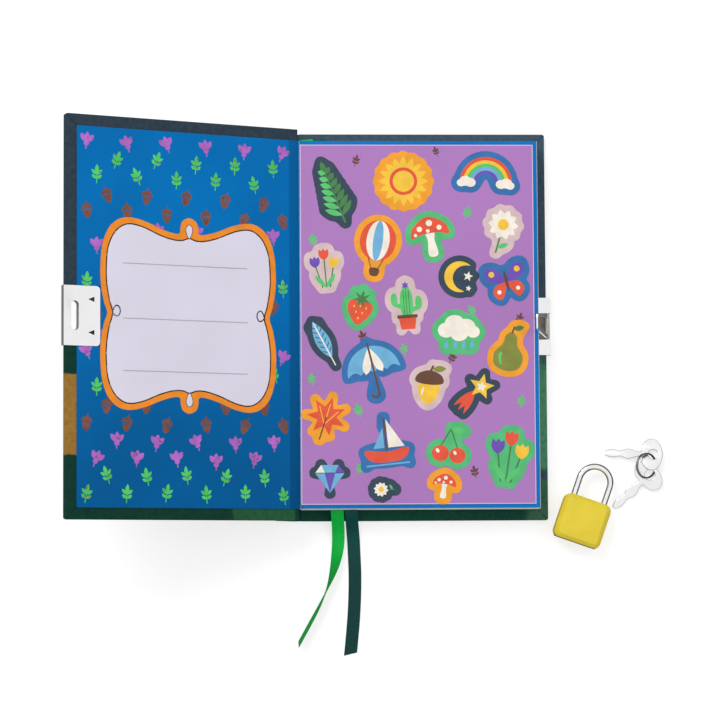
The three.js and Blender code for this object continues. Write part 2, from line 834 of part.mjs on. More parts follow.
// Key, drawn flat with the middle of its bow at X = Y = 0 and its blade towards +X.
// The blade's outline is given by shares of its length, from the bow, and of its width.
const bladeOutline = [
  [-0.0682, 0.3265],
  [0.0682, 0.2449],
  [0.2955, 0.5],
  [0.4091, 0.4694],
  [0.5682, 0.2857],
  [0.7386, 0.3878],
  [0.8523, 0.3878],
  [1, 0.1837],
];
// Each bow lies off the middle of the ring by these shares of the ring's radius
const keyPlaces = [
  { bow: [0.43175, 0.87778, -0.18889], heading: 177.6, droop: 4, roll: 15.6 },
  { bow: [0.17778, -0.78889, -0.25714], heading: 222, droop: 4.4, roll: 0 },
];

function keyGeometry() {
  const bow = new THREE.Shape().absellipse(0, 0, bowLength / 2, bowWidth / 2, 0, Math.PI * 2);
  bow.holes.push(new THREE.Path().absarc(-keyHoleOffset, 0, keyHole / 2, 0, Math.PI * 2, true));
  const start = bowLength / 2;
  const upper = bladeOutline.map(([x, y]) => new THREE.Vector2(start + x * bladeLength, y * bladeWidth));
  const lower = upper.map((point) => new THREE.Vector2(point.x, -point.y)).reverse();
  const blade = new THREE.Shape();
  blade.moveTo(upper[0].x, upper[0].y);
  blade.splineThru(upper.slice(1));
  blade.lineTo(lower[0].x, lower[0].y);
  blade.splineThru(lower.slice(1));
  const half = keyGauge / 2;
  return join(prism(bow, -half, half, 14), prism(blade, -half, half, 14));
}

function keys() {
  const group = new THREE.Group();
  keyPlaces.forEach(({ bow, heading, droop, roll }, i) => {
    const key = mesh("key_" + (i + 1), keyGeometry(), chrome);
    const [x, y, z] = [roll, droop, heading].map(THREE.MathUtils.degToRad);
    key.position.fromArray(bow).multiplyScalar(ringOuter / 2).add(ringCentre);
    key.rotation.set(x, y, z, "ZYX");
    group.add(key);
  });
  return group;
}

function keyRing() {
  const radius = ringOuter / 2 - ringWire / 2;
  const turns = coilGeometry(radius, ringWire, ringTurns, ringPitch, 24, ringSide)
    .translate(0, (-ringTurns * ringPitch) / 2, 0)
    .rotateX(Math.PI / 2)
    .rotateZ(ringEndAngle - ringTiltHeading);
  const ring = mesh("split_ring", turns, steel);
  ring.position.copy(ringCentre);
  ring.rotation.set(0, ringTilt, ringTiltHeading, "ZYX");
  return ring;
}

const diary = new THREE.Group();
const bracket = mesh("staple_bracket", stapleBracketGeometry(), chrome);
diary.add(cover("back_cover", "bracket", bracket, greenWrap));
diary.add(staple());
diary.add(bookBlock());
diary.add(ribbonPieces());
diary.add(spine());
diary.add(frontCover());
diary.add(padlock());
diary.add(keyRing());
diary.add(keys());

export default diary;
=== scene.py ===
"""Secret diary lying open: covers, printed endpapers, pages, clasp, padlock, keys and ribbons.

Every length is in metres unless a name ends in _mm. X runs to the fore-edge, Y to the head of the book
and Z up from the table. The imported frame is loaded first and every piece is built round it.
"""

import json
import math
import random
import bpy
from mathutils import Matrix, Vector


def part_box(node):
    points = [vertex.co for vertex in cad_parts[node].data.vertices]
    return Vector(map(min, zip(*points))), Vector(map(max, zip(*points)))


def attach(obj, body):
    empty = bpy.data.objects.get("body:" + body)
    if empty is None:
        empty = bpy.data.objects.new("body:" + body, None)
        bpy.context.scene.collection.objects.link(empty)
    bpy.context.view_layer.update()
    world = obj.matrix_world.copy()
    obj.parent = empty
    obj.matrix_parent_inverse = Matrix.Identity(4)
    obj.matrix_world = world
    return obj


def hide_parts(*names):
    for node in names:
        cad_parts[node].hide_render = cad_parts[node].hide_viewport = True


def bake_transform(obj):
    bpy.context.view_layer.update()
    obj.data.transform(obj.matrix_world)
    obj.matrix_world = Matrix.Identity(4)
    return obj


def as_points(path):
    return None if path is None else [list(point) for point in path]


bl_info = {
    "name": "Secret Diary",
    "version": (1, 0, 0),
    "blender": (4, 5, 0),
    "location": "3D View > Sidebar > Diary",
    "description": "Builds the covers, prints, pages, clasp, padlock and ribbons of a small locking diary",
    "category": "Object",
}

import bmesh
import bpy
from mathutils import Matrix, Vector

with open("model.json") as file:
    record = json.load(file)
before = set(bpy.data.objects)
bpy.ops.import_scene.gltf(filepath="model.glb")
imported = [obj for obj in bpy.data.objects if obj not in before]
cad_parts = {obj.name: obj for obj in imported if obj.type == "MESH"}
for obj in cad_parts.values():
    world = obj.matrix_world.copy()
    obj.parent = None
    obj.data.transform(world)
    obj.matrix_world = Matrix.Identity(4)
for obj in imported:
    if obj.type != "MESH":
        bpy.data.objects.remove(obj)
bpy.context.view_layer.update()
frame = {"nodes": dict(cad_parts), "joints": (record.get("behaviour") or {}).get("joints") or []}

MM = 0.001
FULL_TURN = 2 * math.pi
SIDES = (-1, 1)


def joint(name):
    """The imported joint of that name."""
    return next(row for row in frame["joints"] if row["name"] == name)


COVER_HINGE = Vector(joint("cover_turn")["pos_m"])
OPEN_ANGLE = -math.radians(joint("cover_turn")["range_deg"][0])
FORE_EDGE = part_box("back_cover_wrap")[1].x
COVER_HALF_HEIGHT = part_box("back_cover_wrap")[1].y
BLOCK_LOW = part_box("signature_8")[0]


def paint(red, green, blue):
    """A colour as it is seen, 0 to 255 a channel, in Blender's linear numbers."""

    def linear(channel):
        share = channel / 255
        return share / 12.92 if share <= 0.04045 else ((share + 0.055) / 1.055) ** 2.4

    return (linear(red), linear(green), linear(blue))


def colour_property(name, description, default):
    return bpy.props.FloatVectorProperty(
        name=name,
        description=description,
        subtype="COLOR",
        size=3,
        min=0.0,
        max=1.0,
        default=default,
    )


def length_property(name, description, default):
    return bpy.props.FloatProperty(
        name=name,
        description=description,
        default=default,
        min=0.0,
        unit="LENGTH",
        subtype="DISTANCE",
        precision=5,
    )


# ---- Settings ----


class DiaryStageSettings(bpy.types.PropertyGroup):
    lens: bpy.props.FloatProperty(
        name="Lens", description="Focal length on a 36 mm sensor, in millimetres", default=149.1, min=10.0
    )
    sky: bpy.props.FloatProperty(
        name="Sky", description="Strength of the even light from all sides", default=0.6, min=0.0
    )
    lamp: bpy.props.FloatProperty(
        name="Lamp", description="Power of the large soft lamp", default=15.0, min=0.0, unit="POWER"
    )


class DiaryCoverSettings(bpy.types.PropertyGroup):
    slate: colour_property("Slate", "Colour of the upper part of the cover paper", paint(50, 66, 79))
    green: colour_property("Green", "Colour of the lower part of the cover paper", paint(12, 60, 48))
    leaf: colour_property("Leaf green", "Colour of the pale patches", paint(38, 92, 58))
    meadow: colour_property("Meadow", "Colour of the pale green at the back fore-edge", paint(65, 119, 91))
    moss: colour_property("Moss", "Colour of the low patch at the back fore-edge", paint(48, 86, 66))
    ochre: colour_property("Ochre", "Colour of the earthy patch at the fore-edge", paint(164, 122, 54))
    board: colour_property("Board", "Colour of the greyboard", paint(158, 152, 142))


class DiaryPaperSettings(bpy.types.PropertyGroup):
    endpaper: colour_property("Endpaper", "Ground colour of the endpapers", paint(0, 112, 184))
    sprig: colour_property("Sprig", "Colour of the printed sprigs", paint(80, 200, 98))
    blossom: colour_property("Blossom", "Colour of the printed blossoms", paint(178, 104, 198))
    acorn: colour_property("Acorn", "Colour of the printed acorns", paint(126, 78, 64))
    page: colour_property("Page", "Colour of the writing paper", paint(236, 233, 226))
    column_pitch: length_property("Column pitch", "Distance between the columns of the print", 0.0204)
    row_pitch: length_property("Row pitch", "Distance between the rows of the print", 0.0083)
    ink_gauge: length_property("Ink gauge", "Thickness of a printed layer", 0.00003)


class DiaryLabelSettings(bpy.types.PropertyGroup):
    border: colour_property("Border", "Colour of the label's band", paint(238, 140, 38))
    panel: colour_property("Panel", "Colour of the writing panel", paint(222, 217, 233))
    line: colour_property("Line", "Colour of the thin drawn line", paint(40, 32, 44))
    line_width: length_property("Line width", "Width of the thin drawn line", 0.00062)
    dot_pitch: length_property("Dot pitch", "Distance between the dots of the writing lines", 0.00098)


class DiarySheetSettings(bpy.types.PropertyGroup):
    ground: colour_property("Ground", "Colour of the sheet of stickers", paint(168, 116, 184))
    margin: colour_property("Margin", "Colour of the sheet's cut edge", paint(222, 200, 230))
    border_width: length_property("Border", "Width of the coloured rim round each sticker", 0.0029)
    sticker_gauge: length_property("Gauge", "Thickness of a sticker", 0.00009)


class DiaryMetalSettings(bpy.types.PropertyGroup):
    chrome: colour_property("Chrome", "Colour of the plated pieces", (0.86, 0.85, 0.86))
    steel: colour_property("Steel", "Colour of the spring steel", (0.24, 0.24, 0.25))
    brass: colour_property("Brass", "Colour of the lock's brass", (0.62, 0.45, 0.18))
    rounding: length_property("Rounding", "Radius of the edges of the sheet metal", 0.00012)


class DiaryPadlockSettings(bpy.types.PropertyGroup):
    jacket: colour_property("Jacket", "Colour of the moulded jacket", paint(229, 205, 52))
    bevel: length_property("Bevel", "Depth of the jacket's rounded bevel", 0.0025)


class DiaryRibbonSettings(bpy.types.PropertyGroup):
    green: colour_property("Green", "Colour of the green ribbon", paint(0, 192, 68))
    teal: colour_property("Teal", "Colour of the teal ribbon", paint(4, 76, 74))
    width: length_property("Width", "Width of each ribbon", 0.0062)
    gauge: length_property("Gauge", "Thickness of each ribbon", 0.00026)


# ---- Shader nodes ----


class Graph:
    """Adds and links shader nodes in a few words."""

    def __init__(self, tree):
        self.tree = tree

    def add(self, kind, settings=None, inputs=None):
        node = self.tree.nodes.new(kind)
        for key, value in (settings or {}).items():
            setattr(node, key, value)
        for key, value in (inputs or {}).items():
            self.feed(node.inputs[key], value)
        return node

    def feed(self, socket, value):
        if isinstance(value, bpy.types.NodeSocket):
            self.tree.links.new(value, socket)
        elif isinstance(value, (tuple, list)) and len(value) == 3 and socket.type == "RGBA":
            socket.default_value = (*value, 1.0)
        else:
            socket.default_value = value

    def math(self, operation, first, second=0.0, third=0.0):
        node = self.add("ShaderNodeMath", {"operation": operation})
        for socket, value in zip(node.inputs, (first, second, third)):
            self.feed(socket, value)
        return node.outputs[0]

    def blend(self, share, first, second):
        """The first colour where share is 0 and the second where it is 1."""
        node = self.add("ShaderNodeMix", {"data_type": "RGBA"})
        self.feed(node.inputs[0], share)
        self.feed(node.inputs[6], first)
        self.feed(node.inputs[7], second)
        return node.outputs[2]

    def spread(self, value, low, high, to_low=0.0, to_high=1.0):
        """value between low and high, mapped smoothly to the two results."""
        settings = {"interpolation_type": "SMOOTHSTEP"}
        inputs = {0: value, 1: low, 2: high, 3: to_low, 4: to_high}
        return self.add("ShaderNodeMapRange", settings, inputs).outputs[0]

    def noise(self, vector, scale, detail, roughness):
        inputs = {"Vector": vector, "Scale": scale, "Detail": detail, "Roughness": roughness}
        return self.add("ShaderNodeTexNoise", None, inputs).outputs["Fac"]

    def place(self):
        return self.add("ShaderNodeTexCoord").outputs["Object"]

    def axes(self, vector):
        return self.add("ShaderNodeSeparateXYZ", None, {"Vector": vector}).outputs

    def apart(self, value, middle):
        """How far value lies from the middle, on either side."""
        return self.math("ABSOLUTE", self.math("SUBTRACT", value, middle))

    def scaled(self, colour, factor):
        settings = {"operation": "SCALE"}
        return self.add("ShaderNodeVectorMath", settings, {0: colour, "Scale": factor}).outputs[0]

    def grain(self, grain, drift):
        """The fine grain of a surface, its height and its drift of tone."""
        return use_group(self, tooth_group(), {"Grain": grain, "Drift": drift})

    def colour(self, shader, value):
        self.feed(shader.inputs["Base Color"], value)

    def gloss(self, shader, share, low, high):
        """Roughness that drifts between two values."""
        self.feed(shader.inputs["Roughness"], self.spread(share, 0.0, 1.0, low, high))

    def stretched(self, vector, scale):
        return self.add("ShaderNodeMapping", None, {"Vector": vector, "Scale": scale}).outputs[0]


def node_group(name, inputs, outputs, build):
    """A shader node group with named sockets; build returns the sockets that leave it."""
    tree = bpy.data.node_groups.get(name)
    if tree is not None:
        return tree
    tree = bpy.data.node_groups.new(name, "ShaderNodeTree")
    for label, kind, default in inputs:
        socket = tree.interface.new_socket(label, in_out="INPUT", socket_type="NodeSocket" + kind)
        socket.default_value = (*default, 1.0) if kind == "Color" else default
    for label, kind in outputs:
        tree.interface.new_socket(label, in_out="OUTPUT", socket_type="NodeSocket" + kind)
    source = tree.nodes.new("NodeGroupInput")
    sink = tree.nodes.new("NodeGroupOutput")
    for label, socket in build(Graph(tree), source.outputs).items():
        tree.links.new(socket, sink.inputs[label])
    return tree


def use_group(graph, tree, inputs=None):
    return graph.add("ShaderNodeGroup", {"node_tree": tree}, inputs).outputs


def tooth_group():
    """Fine grain of paper, plastic or metal: a height and a soft drift of tone."""

    def build(graph, given):
        place = graph.place()
        fine = graph.noise(place, given["Grain"], 3.0, 0.6)
        drift = graph.noise(place, given["Drift"], 2.0, 0.5)
        share = graph.math("MULTIPLY_ADD", drift, 0.75, graph.math("MULTIPLY", fine, 0.25))
        return {"Height": fine, "Share": graph.spread(share, 0.3, 0.7)}

    inputs = [("Grain", "Float", 2600.0), ("Drift", "Float", 30.0)]
    return node_group("Surface grain", inputs, [("Height", "Float"), ("Share", "Float")], build)


def rim_group():
    """A mask that is 1 close to the edges of an upright rectangle in X and Y."""

    def build(graph, given):
        axes = graph.axes(graph.place())
        low = graph.axes(given["Low"])
        high = graph.axes(given["High"])
        nearest = None
        for axis in (0, 1):
            below = graph.math("SUBTRACT", axes[axis], low[axis])
            above = graph.math("SUBTRACT", high[axis], axes[axis])
            near = graph.math("MINIMUM", below, above)
            nearest = near if nearest is None else graph.math("MINIMUM", nearest, near)
        return {"Mask": graph.math("LESS_THAN", nearest, given["Width"])}

    inputs = [("Low", "Vector", (0, 0, 0)), ("High", "Vector", (0, 0, 0)), ("Width", "Float", 0.0004)]
    return node_group("Rim of a sheet", inputs, [("Mask", "Float")], build)


# The cover's print on the page, in metres: where each painted area lies and how soft its edge is.
GREEN_FROM = (0.022, 0.008)
TAIL_PATCH = (-0.081, -0.097)
TAIL_PATCH_EDGE = (0.0185, 0.0172)
OCHRE_MIDDLE = (-0.172, -0.046)
OCHRE_EDGE = (0.0215, 0.0205)
BACK_BOARD_FROM = (0.02, 0.024)
BACK_FORE_EDGE_FROM = (0.046, 0.05)
MEADOW_FROM = (-0.048, -0.044)
SLATE_BAND_LEVEL = -0.0505
SLATE_BAND_EDGE = (0.0022, 0.0028)
# The mitred folds at a board's corners, with a bump and painted shade along them: how close to the diagonal,
# and how far from the board's middle plane.
FOLD_EDGE = (0.00034, 0.0001)
FOLD_LIFT = 0.0018
FOLD_REACH = 0.0093


def cover_print_group():
    """The cover paper's soft painted areas: slate above, greens and an ochre patch below, and painted shade
    along the mitred folds at its corners.
    """

    def folds(graph, given, place):
        """The diagonal folds at the corners, found on the cover as it lies closed."""
        inputs = {"Vector": place, "Center": tuple(COVER_HINGE), "Angle": given["Turn"]}
        laid = graph.axes(graph.add("ShaderNodeVectorRotate", {"rotation_type": "Y_AXIS"}, inputs).outputs[0])
        to_side = graph.math("SUBTRACT", FORE_EDGE, laid[0])
        to_end = graph.math("SUBTRACT", COVER_HALF_HEIGHT, graph.math("ABSOLUTE", laid[1]))
        on_board = graph.math("LESS_THAN", graph.apart(laid[2], COVER_HINGE.z / 2 + FOLD_LIFT), FOLD_REACH)
        return graph.math("MULTIPLY", graph.spread(graph.apart(to_side, to_end), *FOLD_EDGE), on_board)

    def build(graph, given):
        place = graph.place()
        fold = folds(graph, given, place)
        across, along, _ = graph.axes(place)
        level = graph.math("MULTIPLY_ADD", graph.noise(place, 22.0, 2.0, 0.45), 0.05, along)
        ragged = graph.noise(place, 60.0, 3.0, 0.6)
        lower = graph.spread(level, *GREEN_FROM)
        ground = graph.blend(lower, given["Slate"], given["Green"])
        patches = graph.spread(graph.noise(place, 34.0, 1.5, 0.4), 0.71, 0.73)
        tail = graph.math("MAXIMUM", graph.apart(across, TAIL_PATCH[0]), graph.apart(along, TAIL_PATCH[1]))
        clump = graph.spread(graph.math("MULTIPLY_ADD", ragged, 0.006, tail), *TAIL_PATCH_EDGE)
        leaves = graph.math("MAXIMUM", clump, graph.math("MULTIPLY", patches, lower))
        leafy = graph.blend(leaves, ground, given["Leaf"])
        outward = graph.math("SUBTRACT", across, OCHRE_MIDDLE[0])
        reach = graph.math("MAXIMUM", graph.apart(along, OCHRE_MIDDLE[1]), outward)
        earthy = graph.spread(graph.math("MULTIPLY_ADD", ragged, 0.004, reach), *OCHRE_EDGE)
        patched = graph.blend(earthy, leafy, given["Ochre"])
        band = graph.spread(graph.apart(level, SLATE_BAND_LEVEL), *SLATE_BAND_EDGE)
        banded = graph.blend(band, given["Slate"], given["Moss"])
        meadow = graph.blend(graph.spread(level, *MEADOW_FROM), banded, given["Meadow"])
        fore = graph.math("MULTIPLY", graph.spread(across, *BACK_FORE_EDGE_FROM), lower)
        fore = graph.math("MULTIPLY", graph.spread(across, *BACK_BOARD_FROM), fore)
        mottle = graph.spread(graph.noise(place, 420.0, 4.0, 0.65), 0.3, 0.7, 0.72, 1.0)
        # Painted shade: the colour darkens by more than half along the mitred folds.
        mottle_and_fold_shade = graph.math("MULTIPLY", mottle, graph.math("MULTIPLY_ADD", fold, -0.55, 1.0))
        return {"Colour": graph.scaled(graph.blend(fore, patched, meadow), mottle_and_fold_shade), "Fold": fold}

    colours = ("Slate", "Green", "Leaf", "Meadow", "Moss", "Ochre")
    inputs = [(name, "Color", (0, 0, 0)) for name in colours] + [("Turn", "Float", 0.0)]
    return node_group("Cover print", inputs, [("Colour", "Color"), ("Fold", "Float")], build)


def leaf_edge_group():
    """Tone of a stack of leaves seen at its cut edge."""

    def build(graph, given):
        stretched = graph.stretched(graph.place(), (4.0, 4.0, 5200.0))
        lines = graph.noise(stretched, 1.0, 2.0, 0.5)
        return {"Share": graph.spread(lines, 0.35, 0.65)}

    return node_group("Leaf edges", [], [("Share", "Float")], build)


SELVEDGE_MM = (2.55, 2.85)


def weave_group():
    """Ribbed satin from the strip's own coordinates, in millimetres across and along."""

    def build(graph, given):
        uv = graph.add("ShaderNodeUVMap", {"uv_map": "weave"}).outputs[0]
        axes = graph.axes(uv)
        ribs = graph.math("SINE", graph.math("MULTIPLY", axes[1], given["Ribs"]))
        picks = graph.math("SINE", graph.math("MULTIPLY", axes[0], given["Picks"]))
        cloth = graph.math("MULTIPLY_ADD", graph.math("MULTIPLY", ribs, picks), 0.5, 0.5)
        selvedge = graph.spread(graph.math("ABSOLUTE", axes[0]), *SELVEDGE_MM)
        slub = graph.noise(graph.stretched(uv, (0.35, 5.0, 1.0)), 1.0, 2.0, 0.5)
        tone = graph.math("MULTIPLY_ADD", slub, 0.6, graph.math("MULTIPLY", cloth, 0.4))
        height = graph.math("MULTIPLY_ADD", selvedge, 0.9, cloth)
        return {"Height": height, "Share": graph.spread(tone, 0.2, 0.8)}

    inputs = [("Ribs", "Float", 15.0), ("Picks", "Float", 11.0)]
    return node_group("Ribbon weave", inputs, [("Height", "Float"), ("Share", "Float")], build)


# How deep the grain of a surface is for the light.
INK_DEPTH = 0.000006
PAPER_DEPTH = 0.000008
METAL_DEPTH = 0.0000012


def shifted(colour, factor):
    return tuple(min(1.0, channel * factor) for channel in colour)


def new_material(name, colour, roughness, metallic=0.0, **constants):
    """An empty material with its Principled shader: (material, graph, shader)."""
    material = bpy.data.materials.new(name)
    material.use_nodes = True
    material.diffuse_color = (*colour, 1.0)
    graph = Graph(material.node_tree)
    shader = material.node_tree.nodes["Principled BSDF"]
    shader.inputs["Base Color"].default_value = (*colour, 1.0)
    shader.inputs["Roughness"].default_value = roughness
    shader.inputs["Metallic"].default_value = metallic
    for key, value in constants.items():
        shader.inputs[key.replace("_", " ")].default_value = value
    return material, graph, shader


def bump(graph, shader, height, depth):
    node = graph.add("ShaderNodeBump", None, {"Height": height, "Distance": depth, "Strength": 1.0})
    graph.feed(shader.inputs["Normal"], node.outputs[0])


def surface(name, colour, vary, roughness, rough_vary, grain, drift, depth, metallic=0.0, **constants):
    """A material with a fine grain, whose tone and roughness drift by the two shares that vary them."""
    material, graph, shader = new_material(name, colour, roughness, metallic, **constants)
    worn = graph.grain(grain, drift)
    graph.colour(shader, graph.blend(worn["Share"], shifted(colour, 1 - vary), shifted(colour, 1 + vary)))
    if rough_vary:
        graph.gloss(shader, worn["Share"], roughness - rough_vary, roughness + rough_vary)
    bump(graph, shader, worn["Height"], depth)
    return material


def ink(name, colour, roughness=0.42):
    return surface(
        name, colour, 0.09, roughness, rough_vary=0.05, grain=1900.0, drift=160.0, depth=INK_DEPTH,
        Specular_IOR_Level=0.2,
    )


def flecked_ink(name, colour, fleck):
    """Print in one colour with small soft flecks of another."""
    material, graph, shader = new_material(name, colour, 0.45, Specular_IOR_Level=0.2)
    spots = graph.spread(graph.noise(graph.place(), 520.0, 2.0, 0.55), 0.58, 0.66, 0.0, 0.75)
    drift = graph.spread(graph.noise(graph.place(), 150.0, 2.0, 0.5), 0.35, 0.65)
    tone = graph.blend(drift, shifted(colour, 0.88), shifted(colour, 1.1))
    graph.colour(shader, graph.blend(spots, tone, fleck))
    bump(graph, shader, graph.grain(1900.0, 160.0)["Height"], INK_DEPTH)
    return material


def paper(name, colour, vary, roughness):
    return surface(
        name, colour, vary, roughness, rough_vary=0.05, grain=2400.0, drift=26.0, depth=PAPER_DEPTH,
        Specular_IOR_Level=0.16,
    )


def plated(name, colour, roughness, grain=900.0, wave=0.0):
    """Bright metal; wave is the depth of its faint unevenness over a centimetre or two."""
    material = surface(
        name, colour, 0.03, roughness, rough_vary=0.03, grain=grain, drift=120.0, depth=METAL_DEPTH,
        metallic=1.0,
    )
    if wave:
        graph = Graph(material.node_tree)
        normal = material.node_tree.nodes["Principled BSDF"].inputs["Normal"]
        fine = normal.links[0].from_socket
        broad = graph.noise(graph.place(), 55.0, 1.0, 0.4)
        inputs = {"Height": broad, "Distance": wave, "Strength": 1.0, "Normal": fine}
        graph.feed(normal, graph.add("ShaderNodeBump", None, inputs).outputs[0])
    return material


# ---- Meshes ----


def to_mm(points):
    return [tuple(value / MM for value in point) for point in points]


def new_object(name, mesh):
    item = bpy.data.objects.new(name, mesh)
    bpy.context.scene.collection.objects.link(item)
    return item


# The angle in degrees past which an edge stays sharp, and past which one is rounded by modifiers.
SHARP_DEG, ROUNDED_DEG = 35, 40


def finished(name, shape, materials, body, replaces=(), declare=None):
    """Turns a bmesh into a piece that rides on a body, or is held as declare says."""
    bmesh.ops.recalc_face_normals(shape, faces=shape.faces)
    mesh = bpy.data.meshes.new(name)
    shape.to_mesh(mesh)
    shape.free()
    for material in materials:
        mesh.materials.append(material)
    mesh.shade_smooth()
    mesh.set_sharp_from_angle(angle=math.radians(SHARP_DEG))
    item = new_object(name, mesh)
    if replaces:
        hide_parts(*replaces)
    if declare is None:
        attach(item, body)
    else:
        declare(item)
    return item


def spline_point(before, start, end, after, t):
    return 0.5 * (
        2 * start
        + (end - before) * t
        + (2 * before - 5 * start + 4 * end - after) * t * t
        + (3 * start - before - 3 * end + after) * t**3
    )


def smooth_open(points, steps):
    """An open smooth curve through the points, ends kept."""
    vectors = [Vector(point) for point in points]
    padded = [2 * vectors[0] - vectors[1], *vectors, 2 * vectors[-1] - vectors[-2]]
    result = []
    for i in range(len(vectors) - 1):
        result += [spline_point(*padded[i : i + 4], step / steps) for step in range(steps)]
    return result + [vectors[-1]]


def arc(radius, degrees, x=0.0, y=0.0):
    """Points round a centre at the given angles."""
    angles = [math.radians(angle) for angle in degrees]
    return [(x + radius * math.cos(angle), y + radius * math.sin(angle)) for angle in angles]


def rounded_box_outline(half_x, half_y, radius, steps=8):
    """A rectangle with rounded corners, the first at +X +Y, counter-clockwise."""
    points = []
    for sign_x, sign_y, start in ((1, 1, 0), (-1, 1, 90), (-1, -1, 180), (1, -1, 270)):
        degrees = [start + 90 * step / steps for step in range(steps + 1)]
        points += arc(radius, degrees, sign_x * (half_x - radius), sign_y * (half_y - radius))
    return points


WELD_MM = 0.0005


def cut_sheet(outlines_mm, gauge_mm, rounding_mm=0.0, steps=2):
    """A bmesh of a flat sheet cut to closed outlines, in millimetres, on Z = 0. Inner outlines are holes."""
    curve = bpy.data.curves.new("outline", "CURVE")
    curve.dimensions = "2D"
    curve.fill_mode = "BOTH"
    curve.extrude = gauge_mm / 2 - rounding_mm
    curve.bevel_depth = rounding_mm
    curve.bevel_resolution = steps
    curve.offset = -rounding_mm
    for outline in outlines_mm:
        spline = curve.splines.new("POLY")
        spline.points.add(len(outline) - 1)
        for point, place in zip(spline.points, outline):
            point.co = (place[0], place[1], 0.0, 1.0)
        spline.use_cyclic_u = True
    holder = new_object("outline", curve)
    graph = bpy.context.evaluated_depsgraph_get()
    mesh = bpy.data.meshes.new_from_object(holder.evaluated_get(graph))
    bpy.data.objects.remove(holder)
    bpy.data.curves.remove(curve)
    shape = bmesh.new()
    shape.from_mesh(mesh)
    bpy.data.meshes.remove(mesh)
    bmesh.ops.remove_doubles(shape, verts=shape.verts, dist=WELD_MM)
    bmesh.ops.translate(shape, verts=shape.verts, vec=(0, 0, gauge_mm / 2))
    return shape


def add_shape(target, source, matrix):
    """Copies a bmesh into another, moved by a matrix."""
    copies = {vert: target.verts.new(matrix @ vert.co) for vert in source.verts}
    for face in source.faces:
        target.faces.new([copies[vert] for vert in face.verts])


def stamp(target, outlines_mm, gauge_mm, matrix=Matrix.Identity(4)):
    """Cuts a flat sheet and adds it to a bmesh."""
    part = cut_sheet(outlines_mm, gauge_mm)
    add_shape(target, part, matrix)
    part.free()


def placed(shape, matrix):
    """A bmesh in millimetres, moved into the row frame by a matrix in metres."""
    bmesh.ops.transform(shape, verts=shape.verts, matrix=matrix @ Matrix.Scale(MM, 4))
    return shape


def tangent(path, i, closed=False):
    """The direction of a path at one of its points."""
    before = path[i - 1] if closed or i else path[i]
    after = path[(i + 1) % len(path)] if closed or i < len(path) - 1 else path[i]
    return (after - before).normalized()


def bridge(shape, ring, following):
    """Faces between two rings of as many vertices."""
    for k in range(len(ring)):
        n = (k + 1) % len(ring)
        shape.faces.new((ring[k], ring[n], following[n], following[k]))


def close_sheet(shape, top, under, under_material=0):
    """Faces round the thin solid between two grids of vertices; its far side may have its own material."""
    last, wide = len(top) - 1, len(top[0]) - 1
    for i in range(last):
        for k in range(wide):
            shape.faces.new((top[i][k], top[i + 1][k], top[i + 1][k + 1], top[i][k + 1]))
            lower = shape.faces.new((under[i][k], under[i][k + 1], under[i + 1][k + 1], under[i + 1][k]))
            lower.material_index = under_material
        for k in (0, wide):
            shape.faces.new((top[i][k], under[i][k], under[i + 1][k], top[i + 1][k]))
    for i in (0, last):
        for k in range(wide):
            shape.faces.new((top[i][k], top[i][k + 1], under[i][k + 1], under[i][k]))


def sweep(points, section, closed=False, up=(0, 0, 1)):
    """A tube of any section along points: section gives (across, through) pairs."""
    shape = bmesh.new()
    rings = []
    centres = [Vector(point) for point in points]
    for i, centre in enumerate(centres):
        along = tangent(centres, i, closed)
        across = along.cross(Vector(up)).normalized()
        through = along.cross(across)
        rings.append([shape.verts.new(centre + across * a + through * b) for a, b in section])
    for ring, following in zip(rings, rings[1:]):
        bridge(shape, ring, following)
    if closed:
        bridge(shape, rings[-1], rings[0])
    else:
        shape.faces.new(rings[0])
        shape.faces.new(rings[-1])
    return shape


def circle(radius, sides):
    angles = [FULL_TURN * k / sides for k in range(sides)]
    return [(radius * math.cos(angle), radius * math.sin(angle)) for angle in angles]


# ---- Places ----


def turned(degrees, axis):
    return Matrix.Rotation(math.radians(degrees), 4, axis)


def swing_open():
    """From the closed front cover to the cover at rest."""
    turn = Matrix.Rotation(-OPEN_ANGLE, 4, "Y")
    return Matrix.Translation(COVER_HINGE) @ turn @ Matrix.Translation(-COVER_HINGE)


def front_page():
    """Page coordinates: right from the paste-down's fore-edge, up to the head, and off the paper."""
    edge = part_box("back_cover_pastedown")[1].x
    closed_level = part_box("front_flyleaf")[1].z + PASTEDOWN_CLEARANCE
    return swing_open() @ Matrix.Translation((edge, 0, closed_level)) @ Matrix.Rotation(math.pi, 4, "Y")


PASTEDOWN_CLEARANCE = 0.00065
# The joint's crease, left of the origin, where the blue gets painted shade, and the stretch over which
# painted shade darkens the blue towards the tail.
JOINT_MIDDLE = 0.0656
JOINT_HALF_WIDTH = 0.0029
TAIL_PAINTED_SHADE = (-0.11, 0.06)
OUTSIDE_FACING = -0.2
FRONT_PAGE = front_page()
SHEET_PAGE = Matrix.Translation((0, 0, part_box("sticker_sheet")[1].z))
FLYLEAF_PAGE = Matrix.Translation((0, 0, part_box("front_flyleaf")[1].z))
BACK_PAGE = Matrix.Translation((0, 0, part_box("back_cover_pastedown")[1].z))
UNDER_PAGE = Matrix.Translation((0, 0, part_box("back_flyleaf")[0].z)) @ Matrix.Rotation(math.pi, 4, "X")


# ---- Outlines for prints and stickers, in millimetres ----

BLOB_STEPS = 5


def oval(x, y, half_x, half_y, turn=0.0, count=26):
    cos, sin = math.cos(math.radians(turn)), math.sin(math.radians(turn))
    points = []
    for k in range(count):
        a = half_x * math.cos(FULL_TURN * k / count)
        b = half_y * math.sin(FULL_TURN * k / count)
        points.append((x + a * cos - b * sin, y + a * sin + b * cos))
    return points


